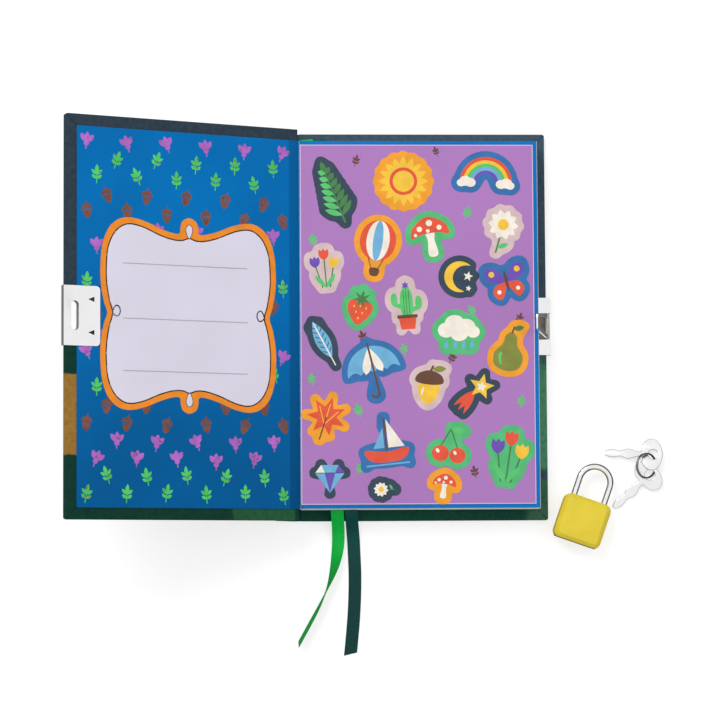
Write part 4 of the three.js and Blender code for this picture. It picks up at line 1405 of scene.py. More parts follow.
# Each picture is a list of shapes, the lowest first: colour, outline and the outline's values, in mm.
PICTURES = {
    "fern": [
        ("fern", stroke, (0, -11.5), (0, 9), 0.7),
        *(
            (colour, petal, 0, -8.5 + 2.7 * k, 6.6 - 0.62 * k, 2.1, turn)
            for k in range(7)
            for colour, turn in (("fern", 38), ("leaf", 142))
        ),
        ("fern", petal, 0, 8.2, 4.2, 2.0, 90),
    ],
    "sun": [
        *(("gold", petal, 0, 0, 11.5, 3.4, 22.5 * k, 0.6) for k in range(16)),
        ("flame", disc, 0, 0, 6.4),
        ("gold", disc, 0, 0, 4.9),
    ],
    "rainbow": [
        *(
            (colour, bow_band, 0, -5, 11.4 - 1.7 * k, 13.1 - 1.7 * k, 0, 180)
            for k, colour in enumerate(("flame", "gold", "leaf", "sky", "plum"))
        ),
        *(
            ("cream", oval, side * x, y, r, r * 0.86)
            for side in SIDES
            for x, y, r in ((7.6, -5.2, 2.6), (10.2, -4.6, 2.9), (12.2, -5.6, 2.2))
        ),
    ],
    "mushroom": [
        ("cream", blob, (-2.2, -9), (2.2, -9), (1.6, -2), (2.0, 1.5), (-2.0, 1.5), (-1.6, -2)),
        ("flame", blob, (-9, 0), (-7.6, 5.4), (0, 9.6), (7.6, 5.4), (9, 0), (4, 1.4), (-4, 1.4)),
        ("cream", disc, -4.6, 4.2, 1.3), ("cream", disc, 0.4, 6.4, 1.5), ("cream", disc, 4.8, 3.6, 1.2),
        ("cream", disc, -0.8, 2.8, 0.9), ("cream", disc, -7.0, 1.6, 0.8),
    ],
    "balloon": [
        ("flame", oval, 0, 3.2, 8.2, 9.2), ("cream", oval, 0, 3.2, 5.2, 9.1), ("sky", oval, 0, 3.2, 2.2, 9.1),
        *(("bark", stroke, (side * 3.4, -5), (side * 1.5, -9.5), 0.4) for side in SIDES),
        ("bark", blob, (-2, -9.4), (2, -9.4), (1.6, -12.6), (-1.6, -12.6)),
    ],
    "daisy": [
        ("fern", stroke, (0, -12.5), (0, -2), 0.8),
        ("leaf", petal, 0, -10, 6, 2.4, 35),
        *(("cream", petal, 0, 1.8, 7.4, 3.6, 36 * k + 9, 0.62) for k in range(10)),
        ("gold", disc, 0, 1.8, 2.7),
    ],
    "cactus": [
        ("leaf", oval, 0, 0.5, 3.3, 8.8),
        ("leaf", oval, -6.0, 2.6, 1.7, 3.4), ("leaf", oval, 6.0, 0.6, 1.7, 3.4),
        ("leaf", stroke, (-6, 0.4), (-2, -1.4), 2.2), ("leaf", stroke, (6, -1.6), (2, -3.2), 2.2),
        *(("fern", stroke, (x, -6), (x, 7), 0.35) for x in (-1.3, 0, 1.3)),
        ("flame", polygon, (-4.6, -5.6), (4.6, -5.6), (3.4, -12.4), (-3.4, -12.4)),
        ("bark", stroke, (-5, -6), (5, -6), 1.6),
        ("plum", star, 0, 9.4, 2.2, 1.0, 6),
    ],
    "butterfly": [
        *(
            row
            for side in SIDES
            for row in (
                ("plum", blob, (0, 1), (side * 5, 9), (side * 11, 9.4), (side * 10.6, 3), (side * 4, 0)),
                ("flame", blob, (0, 0), (side * 7, -1), (side * 9, -6), (side * 5, -9.4), (side * 1, -3)),
                ("gold", disc, side * 7.6, 6.2, 1.7),
                ("cream", disc, side * 5.6, -4.8, 1.2),
            )
        ),
        ("bark", oval, 0, 0.6, 0.9, 6.4),
    ],
    "pear": [
        (
            "olive", blob, (0, 8.4), (-2.8, 6.4), (-3.6, 2.2), (-7.2, -3), (-6, -9),
            (0, -11), (6, -9), (7.2, -3), (3.6, 2.2), (2.8, 6.4),
        ),
        ("leaf", blob, (-4.8, -3), (-4.2, -6.6), (-2.6, -8.4), (-3.4, -5), (-3.2, -2.4)),
        ("bark", stroke, (0, 7.8), (0.8, 11.4), 0.8),
        ("fern", petal, 0.4, 10, 5.4, 2.6, 20),
    ],
    "moon": [
        ("gold", polygon, *arc(9, range(60, 301, 12)), *arc(7.4, range(268, 91, -12), 3.4)),
        ("cream", star, 4.6, 1.4, 3.0, 1.3, 5),
        ("cream", star, 6.4, -5.4, 1.8, 0.8, 5),
    ],
    "cloud": [
        *(
            ("cream", oval, x, y, r, r * 0.9)
            for x, y, r in (
                (-6, 0, 4.2), (-1.6, 3.0, 5.2), (4.2, 1.6, 4.6), (7.6, -0.8, 3.4), (0.6, -1.4, 4.6),
            )
        ),
        *(("sky", petal, x, -5.2, 4.4, 1.9, 262, 0.65) for x in (-5.6, -1.2, 3.2, 7.2)),
    ],
    "umbrella": [
        (
            "sky", polygon, *arc(11, range(0, 181, 9), 0, -1),
            *((-11 + 22 * k / 24, -1 + 1.5 * abs(math.sin(math.pi * k / 6))) for k in range(1, 24)),
        ),
        *(("cream", petal, 0, 9.6, 11.4, 3.4, angle, 0.75) for angle in (252, 288)),
        ("bark", stroke, (0, -9.5), (0, 11.4), 0.8),
        ("bark", bow_band, -1.5, -9.5, 1.1, 1.9, 180, 360),
    ],
    "feather": [
        ("sky", petal, 0, -9, 20, 7.0, 90, 0.45, 14),
        ("cream", stroke, (0, -13), (0, 10), 0.55),
        *(
            ("slate", petal, side * 0.3, -6 + 2.6 * k, 3.2, 0.5, 90 - side * 48)
            for k in range(6)
            for side in SIDES
        ),
    ],
    "strawberry": [
        (
            "flame", blob, (0, -10), (-5.6, -4.6), (-7.4, 1.6), (-4, 5),
            (0, 4.2), (4, 5), (7.4, 1.6), (5.6, -4.6),
        ),
        *(
            ("gold", oval, x, y, 0.42, 0.75)
            for x, y in ((-3.6, 0.6), (0, 1.2), (3.6, 0.6), (-1.9, -2.6), (1.9, -2.6), (0, -6))
        ),
        ("fern", star, 0, 5.4, 5.8, 2.2, 7),
        ("fern", stroke, (0, 5), (0.6, 9.6), 0.9),
    ],
    "boat": [
        ("flame", blob, (-10, -4), (-6.6, -9.4), (6.6, -9.4), (10, -4), (0, -5.2)),
        ("bark", stroke, (0, -5), (0, 10.4), 0.8),
        ("cream", polygon, (0.9, -3.4), (8.4, -3.4), (0.9, 9.6)),
        ("sky", polygon, (-0.9, -3.4), (-6, -3.4), (-0.9, 6)),
        ("sky", stroke, (-10, -11), (10, -11), 0.7),
    ],
    "acorn": [
        ("gold", blob, (-5.4, 0.6), (-4.6, -6), (0, -10.4), (4.6, -6), (5.4, 0.6), (0, 1.6)),
        ("bark", blob, (-7.2, 1.4), (-6, 5.6), (0, 7.8), (6, 5.6), (7.2, 1.4), (0, 0.2)),
        ("bark", stroke, (0, 7), (1.4, 10.4), 1.1),
        ("olive", petal, 1, 8.4, 7.4, 3.4, 8),
        ("cream", petal, -2.8, -1, 5, 1.1, 262),
    ],
    "gem": [
        ("sky", polygon, (-8.4, 3), (-5, 7.4), (5, 7.4), (8.4, 3)),
        ("sky", polygon, (-8.4, 2.6), (8.4, 2.6), (0, -8.6)),
        ("cream", polygon, (-8.4, 3), (-5, 7.4), (-3, 3)),
        ("plum", polygon, (5, 7.4), (8.4, 3), (3, 3)),
        ("plum", polygon, (-3, 2.6), (3, 2.6), (0, -8.6)),
    ],
    "cherries": [
        ("flame", oval, -4.4, -5, 4.6, 4.4), ("flame", oval, 4.8, -6.4, 4.4, 4.2),
        ("fern", stroke, (-4, -1), (1.6, 8), 0.7), ("fern", stroke, (4.8, -2.6), (1.6, 8), 0.7),
        ("cream", oval, -5.9, -3.6, 0.9, 1.3, 30), ("cream", oval, 3.4, -5, 0.8, 1.2, 30),
        ("leaf", petal, 1.6, 7.8, 8, 3.6, -12),
    ],
    "autumn leaf": [
        ("flame", star, 0, 1.4, 10.4, 5.2, 7, 90),
        *(("gold", stroke, (0, -3), tip, 0.45) for tip in arc(6.6, (38.5, 90, 141.5), 0, 1.4)),
        ("bark", stroke, (0, -11.4), (0, 1), 0.7),
    ],
    "shooting star": [
        *(("flame", petal, -1, 1, 15, 3, angle) for angle in (214, 228, 242)),
        ("gold", star, 2.4, 3, 7.4, 3.3, 5, 76),
        ("cream", star, 2.4, 3, 3.2, 1.5, 5, 76),
    ],
    "tulips": [
        *(
            row
            for x, top, colour in ((-5, 2, "plum"), (0.4, 6, "flame"), (5.4, 1, "gold"))
            for row in (
                ("fern", stroke, (x * 0.4, -11.5), (x, top), 0.7),
                *((colour, petal, x, top - 2, 6.6, 3.0, angle) for angle in (68, 90, 112)),
            )
        ),
        *(("leaf", petal, 0, -11.5, 9.4, 2.6, angle) for angle in (52, 128)),
    ],
}
# Picture, rim, place in millimetres from the sheet's middle, size and turn in degrees.
STICKERS = [
    ("fern", "slate", -40.5, 63.5, 1.34, 22),
    ("sun", "orange", -6.5, 69.5, 1.06, 0),
    ("rainbow", "blue", 34, 73.5, 0.98, -4),
    ("mushroom", "green", 6.5, 42.5, 1.02, 10),
    ("daisy", "beige", 41.5, 46.5, 1.0, -16),
    ("balloon", "orange", -19.5, 37, 1.08, -8),
    ("tulips", "beige", -45.2, 27.5, 0.86, 6),
    ("moon", "slate", 20.6, 22.8, 0.84, -14),
    ("butterfly", "blue", 43.4, 20.2, 0.84, 14),
    ("cactus", "beige", -5.4, 9.4, 0.98, 4),
    ("strawberry", "green", -28, 7.6, 0.82, -12),
    ("feather", "slate", -46, -8.6, 1.0, 28),
    ("cloud", "green", 19.5, -3.2, 0.96, 0),
    ("pear", "orange", 44.4, -12.4, 0.98, -10),
    ("umbrella", "blue", -21.5, -22.5, 1.18, 14),
    ("acorn", "beige", 5.2, -29.8, 0.92, -6),
    ("shooting star", "slate", 28.6, -33.2, 0.86, 0),
    ("autumn leaf", "orange", -44.8, -46, 0.92, -18),
    ("boat", "blue", -16, -56.5, 1.06, 6),
    ("cherries", "green", 14.4, -58.2, 0.9, 0),
    ("gem", "slate", -43, -74.5, 0.84, 0),
    ("tulips", "green", 43.5, -64, 1.14, -8),
    ("mushroom", "orange", 12.2, -78.6, 0.62, -8),
    ("daisy", "slate", -17.5, -80.2, 0.48, 90),
]
# The sprigs printed on the sheet itself: place, size, colour and turn.
LOOSE_SPRIGS = [
    (-50.5, 40.5, 0.8, "leaf", 10), (-29.5, 79.5, 0.7, "bark", -14), (-26.5, -6.5, 0.8, "bark", 24),
    (24.5, 54, 0.8, "leaf", -20), (26.5, 6.4, 0.7, "leaf", 34), (49.5, 2.4, 0.7, "bark", -18),
    (-6.8, -12.6, 0.7, "leaf", 12), (16.6, -16.6, 0.75, "bark", -30), (-29, -42, 0.8, "leaf", 18),
    (50, -38, 0.75, "leaf", -8), (27, -72, 0.75, "bark", 12), (-28.5, -70, 0.75, "leaf", -24),
    (9.5, 84, 0.6, "bark", 20), (-51.5, -27, 0.7, "leaf", 6),
]
RIM_COLOURS = {
    "orange": paint(240, 160, 50), "slate": paint(54, 70, 86), "green": paint(86, 186, 120),
    "blue": paint(56, 112, 172), "beige": paint(214, 188, 190),
}
PICTURE_COLOURS = {
    "fern": paint(72, 128, 74), "leaf": paint(92, 196, 112), "olive": paint(132, 138, 64),
    "gold": paint(244, 196, 66), "flame": paint(226, 88, 62), "cream": paint(244, 236, 222),
    "bark": paint(104, 70, 54), "plum": paint(108, 82, 176), "sky": paint(112, 176, 214),
    "slate": paint(60, 82, 104),
}
RIM_SUNK_MM = 0.02
SHEET_RIM = 0.00035
# A picture's inks: the gauge of the lowest, and how much each next one stands above it.
INK_MM = 0.03
INK_STEP_MM = 0.001


class DIARY_OT_stickers(bpy.types.Operator):
    """The purple sheet and its kiss-cut stickers, each on a coloured rim"""

    bl_idname = "diary.stickers"
    bl_label = "Stickers"

    def execute(self, context):
        settings = context.scene.diary_sheet
        paint_node("sticker_sheet", self.sheet_material(settings))
        low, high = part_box("sticker_sheet")
        page = SHEET_PAGE @ Matrix.Translation(((low.x + high.x) / 2, 0, 0))
        gauge = settings.sticker_gauge / MM
        border = settings.border_width / MM
        rims = {name: bmesh.new() for name in RIM_COLOURS}
        inks = {name: bmesh.new() for name in PICTURE_COLOURS}
        for picture, rim, x, y, size, turn in STICKERS:
            rows = PICTURES[picture]
            outlines = [enlarged(outline(*values), size) for _, outline, *values in rows]
            under = self.place(x, y, turn, -RIM_SUNK_MM)
            stamp(rims[rim], [halo(outlines, border)], gauge + RIM_SUNK_MM, under)
            top = self.place(x, y, turn, gauge - RIM_SUNK_MM)
            for k, (row, outline) in enumerate(zip(rows, outlines)):
                stamp(inks[row[0]], [outline], INK_MM + INK_STEP_MM * k, top)
        for x, y, size, name, turn in LOOSE_SPRIGS:
            place = self.place(x, y, turn, -SUNK_MM)
            for k, (outline, *values) in enumerate(MOTIFS["sprigs"]):
                stamp(inks[name], [enlarged(outline(*values), size)], INK_MM + INK_STEP_MM * k, place)
        for kind, layers, colours in (("rim", rims, RIM_COLOURS), ("ink", inks, PICTURE_COLOURS)):
            for name, layer in layers.items():
                material = ink(("rim_" if kind == "rim" else "sticker_") + name, colours[name], 0.36)
                piece = f"sticker_{kind}s_{name}"
                finished(piece, placed(layer, page), [material], "sticker_page")
        return {"FINISHED"}

    def place(self, x, y, turn, level):
        """Where a shape lies on the sheet, all in millimetres, turned by degrees."""
        return Matrix.Translation((x, y, 0)) @ turned(turn, "Z") @ Matrix.Translation((0, 0, level))

    def sheet_material(self, settings):
        """Coated paper with a paler rim, where it was cut."""
        ground = tuple(settings.ground)
        material, graph, shader = new_material("sticker_sheet_coated", ground, 0.38)
        worn = graph.grain(2000.0, 14.0)
        tone = graph.blend(worn["Share"], shifted(ground, 0.94), shifted(ground, 1.06))
        low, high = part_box("sticker_sheet")
        rim = use_group(graph, rim_group(), {"Low": tuple(low), "High": tuple(high), "Width": SHEET_RIM})
        graph.colour(shader, graph.blend(rim["Mask"], tone, tuple(settings.margin)))
        bump(graph, shader, worn["Height"], 0.000005)
        return material


# ---- Gutter ----

STRIP_ROWS = 24
STRIP_GAUGE = 0.00005
# The bent endpaper's section, in metres: back along the board's page, past its edge, then from the
# flyleaf's edge, each with its height.
GUTTER_ON_BOARD = ((0.0010, 0.00004), (0.0003, 0.00004))
GUTTER_PAST_BOARD = (0.0003, -0.00002)
GUTTER_ON_FLYLEAF = ((-0.0001, -0.0002), (0.0003, 0.00002), (0.0007, 0.00003))
# The section of the cloth in the back joint: from the spine side to the board's edge.
JOINT_CLOTH_MM = [(-62.2, 2.25), (-62.7, 2.22), (-63.2, 2.13), (-63.7, 1.98)]
JOINT_CLOTH_SHORT_MM = 0.1


class DIARY_OT_gutters(bpy.types.Operator):
    """The endpapers where they bend from the boards to the block"""

    bl_idname = "diary.gutters"
    bl_label = "Gutters"

    def execute(self, context):
        fly_low, fly_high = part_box("front_flyleaf")
        half = (fly_high.y - fly_low.y) / 2
        paste_low, paste_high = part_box("back_cover_pastedown")
        edge = FRONT_PAGE @ Vector((paste_high.x - paste_low.x, 0, 0))
        along = (FRONT_PAGE.to_3x3() @ Vector((1, 0, 0))).normalized()
        off = (FRONT_PAGE.to_3x3() @ Vector((0, 0, 1))).normalized()
        # It leaves the board's page, dips in the joint and comes to lie on the flyleaf's edge.
        past, dip = GUTTER_PAST_BOARD
        profile = [
            *(edge - along * back + off * lift for back, lift in GUTTER_ON_BOARD),
            edge + Vector((past, 0, dip)),
            *(Vector((fly_low.x + on, 0, fly_high.z + lift)) for on, lift in GUTTER_ON_FLYLEAF),
        ]
        end = Vector((fly_low.x, 0, edge.z))
        papers = [bpy.data.materials[name] for name in ("endpaper_blue_coated", "cover_paper_front")]
        hold = ("front_cover", "text_block", edge, end)
        self.strip("front_gutter", profile, half, papers, "endpaper_blue", hold)
        cloth = bpy.data.materials["back_cover_paper"]
        back = [Vector((x, 0, z)) * MM for x, z in JOINT_CLOTH_MM]
        reach = COVER_HALF_HEIGHT - MM * JOINT_CLOTH_SHORT_MM
        hold = ("back_cover", "text_block", back[0], back[2])
        self.strip("back_joint_cloth", back, reach, [cloth, cloth], "cover_slate", hold)
        return {"FINISHED"}

    def strip(self, name, profile, half, papers, slot, hold):
        """A thin strip bent along the profile; hold, its two bodies and where each would take hold of it, is
        not used.
        """
        points = smooth_open(profile, 5)
        levels = [half * (2 * k / STRIP_ROWS - 1) for k in range(STRIP_ROWS + 1)]
        shape = bmesh.new()
        sides = []
        for side in (0, 1):
            grid = []
            for i, point in enumerate(points):
                along = tangent(points, i)
                normal = Vector((-along.z, 0, along.x)) * (STRIP_GAUGE * side)
                grid.append([shape.verts.new(point - normal + Vector((0, level, 0))) for level in levels])
            sides.append(grid)
        close_sheet(shape, *sides, under_material=1)

        def declare(item):
            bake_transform(item)

        finished(name, shape, papers, None, declare=declare)


# ---- Clasp ----

TOOTH_LEVEL_MM = 7.8
TOOTH_BASE_MM = 8.9
PLATE_TOP_MM = 0.15
BURR_ROWS, BURR_COLUMNS = 8, 14
BURR_START_MM, BURR_LENGTH_MM, BURR_HALF_WIDTH_MM = -0.15, 1.7, 1.5
BURR_GAUGE_MM = 0.14
BURR_RISE_MM = 0.05
BURR_FOOT_MM = -0.12


class DIARY_OT_clasp(bpy.types.Operator):
    """The plated hasp plate, the bracket on the back board and the staple"""

    bl_idname = "diary.clasp"
    bl_label = "Clasp"

    def execute(self, context):
        metals = context.scene.diary_metal
        chrome = plated("chrome_plate", tuple(metals.chrome), 0.13, wave=0.0012)
        for name in ("hasp_plate", "staple_bracket", "staple"):
            paint_node(name, chrome)
            soften(name, metals.rounding)
        for k, level in enumerate((TOOTH_LEVEL_MM, -TOOTH_LEVEL_MM)):
            place = FRONT_PAGE @ Matrix.Translation(Vector((TOOTH_BASE_MM, level, PLATE_TOP_MM)) * MM)
            finished(f"tooth_burr_{k + 1}", placed(self.burr(), place), [chrome], "front_cover")
        return {"FINISHED"}

    def burr(self):
        """The lip that the punch raises behind each tooth: a low hood, open towards the tooth's hole."""
        shape = bmesh.new()
        sides = []
        for gauge in (0.0, BURR_GAUGE_MM):
            grid = []
            for out in (i / BURR_ROWS for i in range(BURR_ROWS + 1)):
                line = []
                for v in (2 * k / BURR_COLUMNS - 1 for k in range(BURR_COLUMNS + 1)):
                    reach = math.sqrt(max(0.0, 1 - 0.92 * v * v))
                    rise = BURR_RISE_MM * (1 - out) ** 0.9 * (1 - v * v) - gauge
                    x = BURR_START_MM + BURR_LENGTH_MM * out * reach
                    line.append(shape.verts.new((x, BURR_HALF_WIDTH_MM * v, max(rise, BURR_FOOT_MM - gauge))))
                grid.append(line)
            sides.append(grid)
        close_sheet(shape, *sides)
        return shape


# ---- Padlock ----

LOCK_HALF_WIDTH_MM = 11.8
LOCK_HALF_HEIGHT_MM = 11.3
LOCK_CORNER_MM = 1.1
SHACKLE_REACH_MM = 17.9
LOCK_THICKNESS_MM = 12.0
SHACKLE_RADIUS_MM = 1.5
SHACKLE_LEG_MM = 7.7
LOCK_MIDDLE_MM = 6.0
# The room inside the jacket and the shackle's bores.
CAVITY_LEVELS_MM = (1.75, 10.25)
CAVITY_HALF_WIDTH_MM = 10.5
CAVITY_ROOF_MM = 1.5
BORE_RADIUS_MM = 1.65
# How far the two legs reach below the jacket's top, and the notch in the short one.
SHACKLE_FOOT_MM, SHACKLE_TOE_MM = 12.2, 6.4
NOTCH_DROP_MM, NOTCH_HEIGHT_MM, NOTCH_DEPTH_MM, NOTCH_EDGE_MM = 2.2, 3.6, 0.8, 0.02
LEG_STEPS, BOW_STEPS = 14, 32
BORE_SIDES, SHACKLE_SIDES = 32, 28
SHACKLE_ROUNDING_MM = 0.35
JACKET_SHARP_DEG = 32
# The jacket's bevel as shares of its depth: height above the face, then inset of the outline.
JACKET_BEVEL = [(0, 1), (0.03, 0.87), (0.11, 0.75), (0.75, 0.11), (0.87, 0.03), (1, 0)]


def lock_frame():
    """The padlock's own frame: its back at Z = 0 and its shackle towards +Y."""
    axis = Vector(joint("shackle_slide")["axis"])
    low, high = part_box("padlock_jacket")
    centre = (low + high) / 2
    turn = math.atan2(-axis.x, axis.y)
    return Matrix.Translation((centre.x, centre.y, 0)) @ Matrix.Rotation(turn, 4, "Z")


class DIARY_OT_padlock(bpy.types.Operator):
    """The moulded jacket, the plated shackle and the lock's works"""

    bl_idname = "diary.padlock"
    bl_label = "Padlock"

    def execute(self, context):
        metals = context.scene.diary_metal
        settings = context.scene.diary_padlock
        moulded = {"rough_vary": 0.06, "grain": 1500.0, "drift": 90.0, "depth": 0.000012}
        colour = tuple(settings.jacket)
        yellow = surface("jacket_yellow", colour, 0.05, 0.44, **moulded, Specular_IOR_Level=0.4)
        chrome = bpy.data.materials["chrome_plate"]
        brass = plated("lock_brass", tuple(metals.brass), 0.3, 1400.0)
        steel = plated("spring_steel", tuple(metals.steel), 0.28, 1400.0)
        for name in ("padlock_core", "lock_plug"):
            paint_node(name, brass)
        for name in ("latch", "shackle_spring"):
            paint_node(name, steel)
        self.jacket(settings.bevel / MM, yellow)
        self.shackle(chrome)
        return {"FINISHED"}

    def jacket(self, bevel, material):
        shape = bmesh.new()
        rings = []
        levels = [(bevel * rise, bevel * inset) for rise, inset in JACKET_BEVEL]
        levels = levels + [(LOCK_THICKNESS_MM - z, inset) for z, inset in reversed(levels)]
        for z, inset in levels:
            half_x, half_y = LOCK_HALF_WIDTH_MM - inset, LOCK_HALF_HEIGHT_MM - inset
            outline = rounded_box_outline(half_x, half_y, LOCK_CORNER_MM + bevel - inset)
            rings.append([shape.verts.new((x, y, z)) for x, y in outline])
        for ring, following in zip(rings, rings[1:]):
            bridge(shape, ring, following)
        shape.faces.new(rings[0])
        shape.faces.new(rings[-1])
        moulding = placed(shape, lock_frame())
        item = finished("jacket", moulding, [material], "padlock", ["padlock_jacket"])
        cutters = self.cutters()
        for cutter in cutters:
            cut = item.modifiers.new("cut", "BOOLEAN")
            cut.operation = "DIFFERENCE"
            cut.solver = "EXACT"
            cut.object = cutter
        graph = bpy.context.evaluated_depsgraph_get()
        mesh = bpy.data.meshes.new_from_object(item.evaluated_get(graph))
        item.modifiers.clear()
        item.data = mesh
        mesh.shade_smooth()
        mesh.set_sharp_from_angle(angle=math.radians(JACKET_SHARP_DEG))
        for cutter in cutters:
            bpy.data.objects.remove(cutter)

    def cutters(self):
        """Solids for the room inside the jacket and the two bores for the shackle."""
        made = []
        cavity = bmesh.new()
        low, high = CAVITY_LEVELS_MM
        foot, roof = -LOCK_HALF_HEIGHT_MM - 1, LOCK_HALF_HEIGHT_MM - CAVITY_ROOF_MM
        half = CAVITY_HALF_WIDTH_MM
        add_block(cavity, Vector((-half, foot, low)), Vector((half, roof, high)))
        shapes = [cavity]
        for side in SIDES:
            centre = [(side * SHACKLE_LEG_MM, y, LOCK_MIDDLE_MM) for y in (0.0, LOCK_HALF_HEIGHT_MM + 1)]
            shapes.append(sweep(centre, circle(BORE_RADIUS_MM, BORE_SIDES)))
        for shape in shapes:
            placed(shape, lock_frame())
            bmesh.ops.recalc_face_normals(shape, faces=shape.faces)
            mesh = bpy.data.meshes.new("cutter")
            shape.to_mesh(mesh)
            shape.free()
            made.append(new_object("cutter", mesh))
        return made

    def shackle(self, material):
        """The bow with its long leg on the left and the latch's notch in the right one."""
        top = LOCK_HALF_HEIGHT_MM
        shoulder = top + SHACKLE_REACH_MM - SHACKLE_RADIUS_MM - SHACKLE_LEG_MM
        foot, toe = top - SHACKLE_FOOT_MM, top - SHACKLE_TOE_MM
        path = [(-SHACKLE_LEG_MM, foot + (shoulder - foot) * k / LEG_STEPS) for k in range(LEG_STEPS)]
        for k in range(BOW_STEPS + 1):
            angle = math.pi - math.pi * k / BOW_STEPS
            path.append((SHACKLE_LEG_MM * math.cos(angle), shoulder + SHACKLE_LEG_MM * math.sin(angle)))
        notch_top = top - NOTCH_DROP_MM
        notch_foot = notch_top - NOTCH_HEIGHT_MM
        edges = [level + side * NOTCH_EDGE_MM for level in (notch_top, notch_foot) for side in (1, -1)]
        path += [(SHACKLE_LEG_MM, y) for y in (shoulder - 3, top, *edges, toe)]
        shape = sweep([(x, y, LOCK_MIDDLE_MM) for x, y in path], circle(SHACKLE_RADIUS_MM, SHACKLE_SIDES))
        wall = SHACKLE_LEG_MM - SHACKLE_RADIUS_MM + NOTCH_DEPTH_MM
        for vert in shape.verts:
            if notch_foot < vert.co.y < notch_top and 0 < vert.co.x < wall:
                vert.co.x = wall
        ends = [face for face in shape.faces if len(face.verts) > 4]
        rims = [edge for edge in shape.edges if any(face in ends for face in edge.link_faces)]
        bmesh.ops.bevel(shape, geom=rims, offset=SHACKLE_ROUNDING_MM, segments=3, affect="EDGES", profile=0.5)
        finished("shackle_bow", placed(shape, lock_frame()), [material], "shackle", ["shackle"])


# ---- Keys and ring ----

RING_TILT_DEG = 33.0
RING_HEADING_DEG = -4.8
RING_END_DEG = 112.0
RING_OUTER_MM = 12.6
RING_WIRE_MM = 0.7
RING_PITCH_MM = 0.72
RING_TURNS, RING_STEPS = 2, 48
RING_CENTRE_MM = (106.78, -68.63, 3.83)
KEY_GAUGE_MM, KEY_ROUNDING_MM = 0.8, 0.3
BOW_MM = (5.4, 8.1)
KEY_HOLE_MM = (2.6, -0.9)
BOW_POINTS, HOLE_POINTS, WIRE_SIDES = 56, 36, 14
# The blade's half width at places along it, from the bow's edge.
BLADE_STATIONS_MM = [
    (-1.2, 1.6), (1.2, 1.2), (5.2, 2.45), (7.2, 2.3), (10, 1.4), (13, 1.9), (15, 1.9), (17.6, 0.9),
]
KEY_PLACES = {
    # bow in mm, then heading, droop and roll in degrees
    "key_1": ((109.5, -63.1, 2.64), 177.6, 4.0, 15.6),
    "key_2": ((107.9, -73.6, 2.21), 222.0, 4.4, 0.0),
}


def key_outline():
    """The bow and the blade as one outline, counter-clockwise."""
    blade = smooth_open([(BOW_MM[0] + x, y) for x, y in BLADE_STATIONS_MM], 5)
    edge = [(point.x, point.y) for point in blade if point.x >= blade[1].x]
    reach = math.acos(edge[0][0] / BOW_MM[0]) if edge[0][0] < BOW_MM[0] else 0.2
    bow = []
    for k in range(BOW_POINTS + 1):
        angle = reach + (FULL_TURN - 2 * reach) * k / BOW_POINTS
        bow.append((BOW_MM[0] * math.cos(angle), BOW_MM[1] * math.sin(angle)))
    return bow + [(x, -y) for x, y in edge] + edge[::-1]


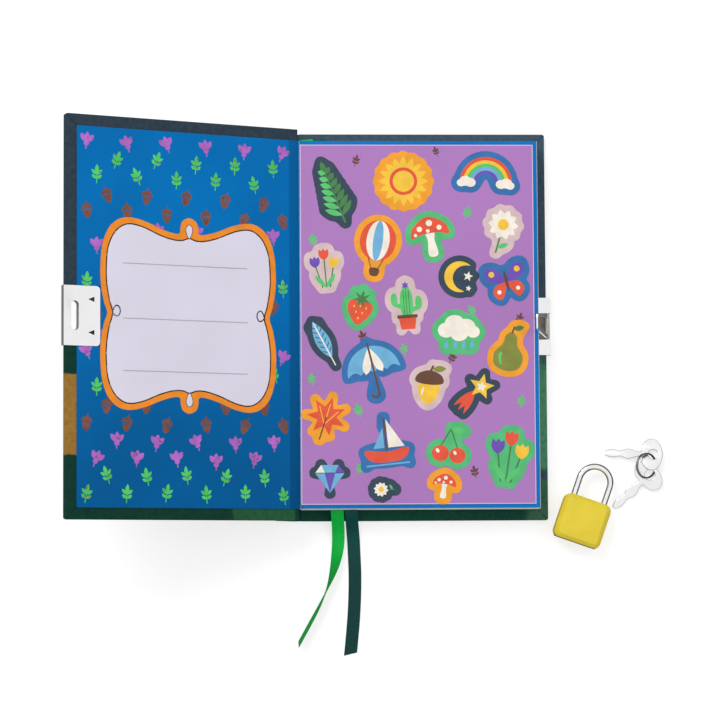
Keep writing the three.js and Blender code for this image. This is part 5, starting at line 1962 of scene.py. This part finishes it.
class DIARY_OT_keys(bpy.types.Operator):
    """Two flat plated keys on a split ring of two turns"""

    bl_idname = "diary.keys"
    bl_label = "Keys"

    def execute(self, context):
        metals = context.scene.diary_metal
        nickel = plated("key_nickel", tuple(metals.chrome), 0.2, 1600.0)
        hole = [(KEY_HOLE_MM[1] + x, y) for x, y in circle(KEY_HOLE_MM[0], HOLE_POINTS)]
        for name, (bow, heading, droop, roll) in KEY_PLACES.items():
            shape = cut_sheet([key_outline(), hole], KEY_GAUGE_MM, KEY_ROUNDING_MM, 3)
            bmesh.ops.translate(shape, verts=shape.verts, vec=(0, 0, -KEY_GAUGE_MM / 2))
            turn = turned(heading, "Z") @ turned(droop, "Y") @ turned(roll, "X")
            place = Matrix.Translation(Vector(bow) * MM) @ turn
            finished(name + "_blank", placed(shape, place), [nickel], name, [name])
        self.ring(bpy.data.materials["spring_steel"])
        return {"FINISHED"}

    def ring(self, material):
        """Two turns of wire, one beside the other."""
        radius = (RING_OUTER_MM - RING_WIRE_MM) / 2
        points = []
        for k in range(RING_TURNS * RING_STEPS + 1):
            angle = FULL_TURN * k / RING_STEPS
            height = RING_PITCH_MM * (k / RING_STEPS - RING_TURNS / 2)
            points.append((radius * math.cos(angle), height, -radius * math.sin(angle)))
        shape = sweep(points, circle(RING_WIRE_MM / 2, WIRE_SIDES), up=(0, 1, 0))
        turn = turned(RING_END_DEG - RING_HEADING_DEG, "Z") @ turned(90, "X")
        stand = turned(RING_HEADING_DEG, "Z") @ turned(RING_TILT_DEG, "Y")
        place = Matrix.Translation(Vector(RING_CENTRE_MM) * MM) @ stand @ turn
        finished("key_ring_wire", placed(shape, place), [material], "key_ring", ["split_ring"])


# ---- Panel and registration ----

OPERATORS = (
    DIARY_OT_stage,
    DIARY_OT_ribbons,
    DIARY_OT_covers,
    DIARY_OT_endpapers,
    DIARY_OT_label,
    DIARY_OT_pages,
    DIARY_OT_stickers,
    DIARY_OT_gutters,
    DIARY_OT_clasp,
    DIARY_OT_padlock,
    DIARY_OT_keys,
)
SETTINGS = {
    "diary_stage": DiaryStageSettings,
    "diary_cover": DiaryCoverSettings,
    "diary_paper": DiaryPaperSettings,
    "diary_label": DiaryLabelSettings,
    "diary_sheet": DiarySheetSettings,
    "diary_metal": DiaryMetalSettings,
    "diary_padlock": DiaryPadlockSettings,
    "diary_ribbon": DiaryRibbonSettings,
}


class DIARY_PT_panel(bpy.types.Panel):
    bl_label = "Secret Diary"
    bl_idname = "DIARY_PT_panel"
    bl_space_type = "VIEW_3D"
    bl_region_type = "UI"
    bl_category = "Diary"

    def draw(self, context):
        for operator in OPERATORS:
            self.layout.operator(operator.bl_idname)
        for name, group in SETTINGS.items():
            box = self.layout.box()
            for key in group.__annotations__:
                box.prop(getattr(context.scene, name), key)


def register():
    for name, group in SETTINGS.items():
        bpy.utils.register_class(group)
        setattr(bpy.types.Scene, name, bpy.props.PointerProperty(type=group))
    for operator in OPERATORS:
        bpy.utils.register_class(operator)
    bpy.utils.register_class(DIARY_PT_panel)


def unregister():
    bpy.utils.unregister_class(DIARY_PT_panel)
    for operator in reversed(OPERATORS):
        bpy.utils.unregister_class(operator)
    for name, group in SETTINGS.items():
        delattr(bpy.types.Scene, name)
        bpy.utils.unregister_class(group)


def main():
    register()
    for operator in OPERATORS:
        group, name = operator.bl_idname.split(".")
        getattr(getattr(bpy.ops, group), name)()
    bpy.context.view_layer.update()


if __name__ == "__main__":
    main()
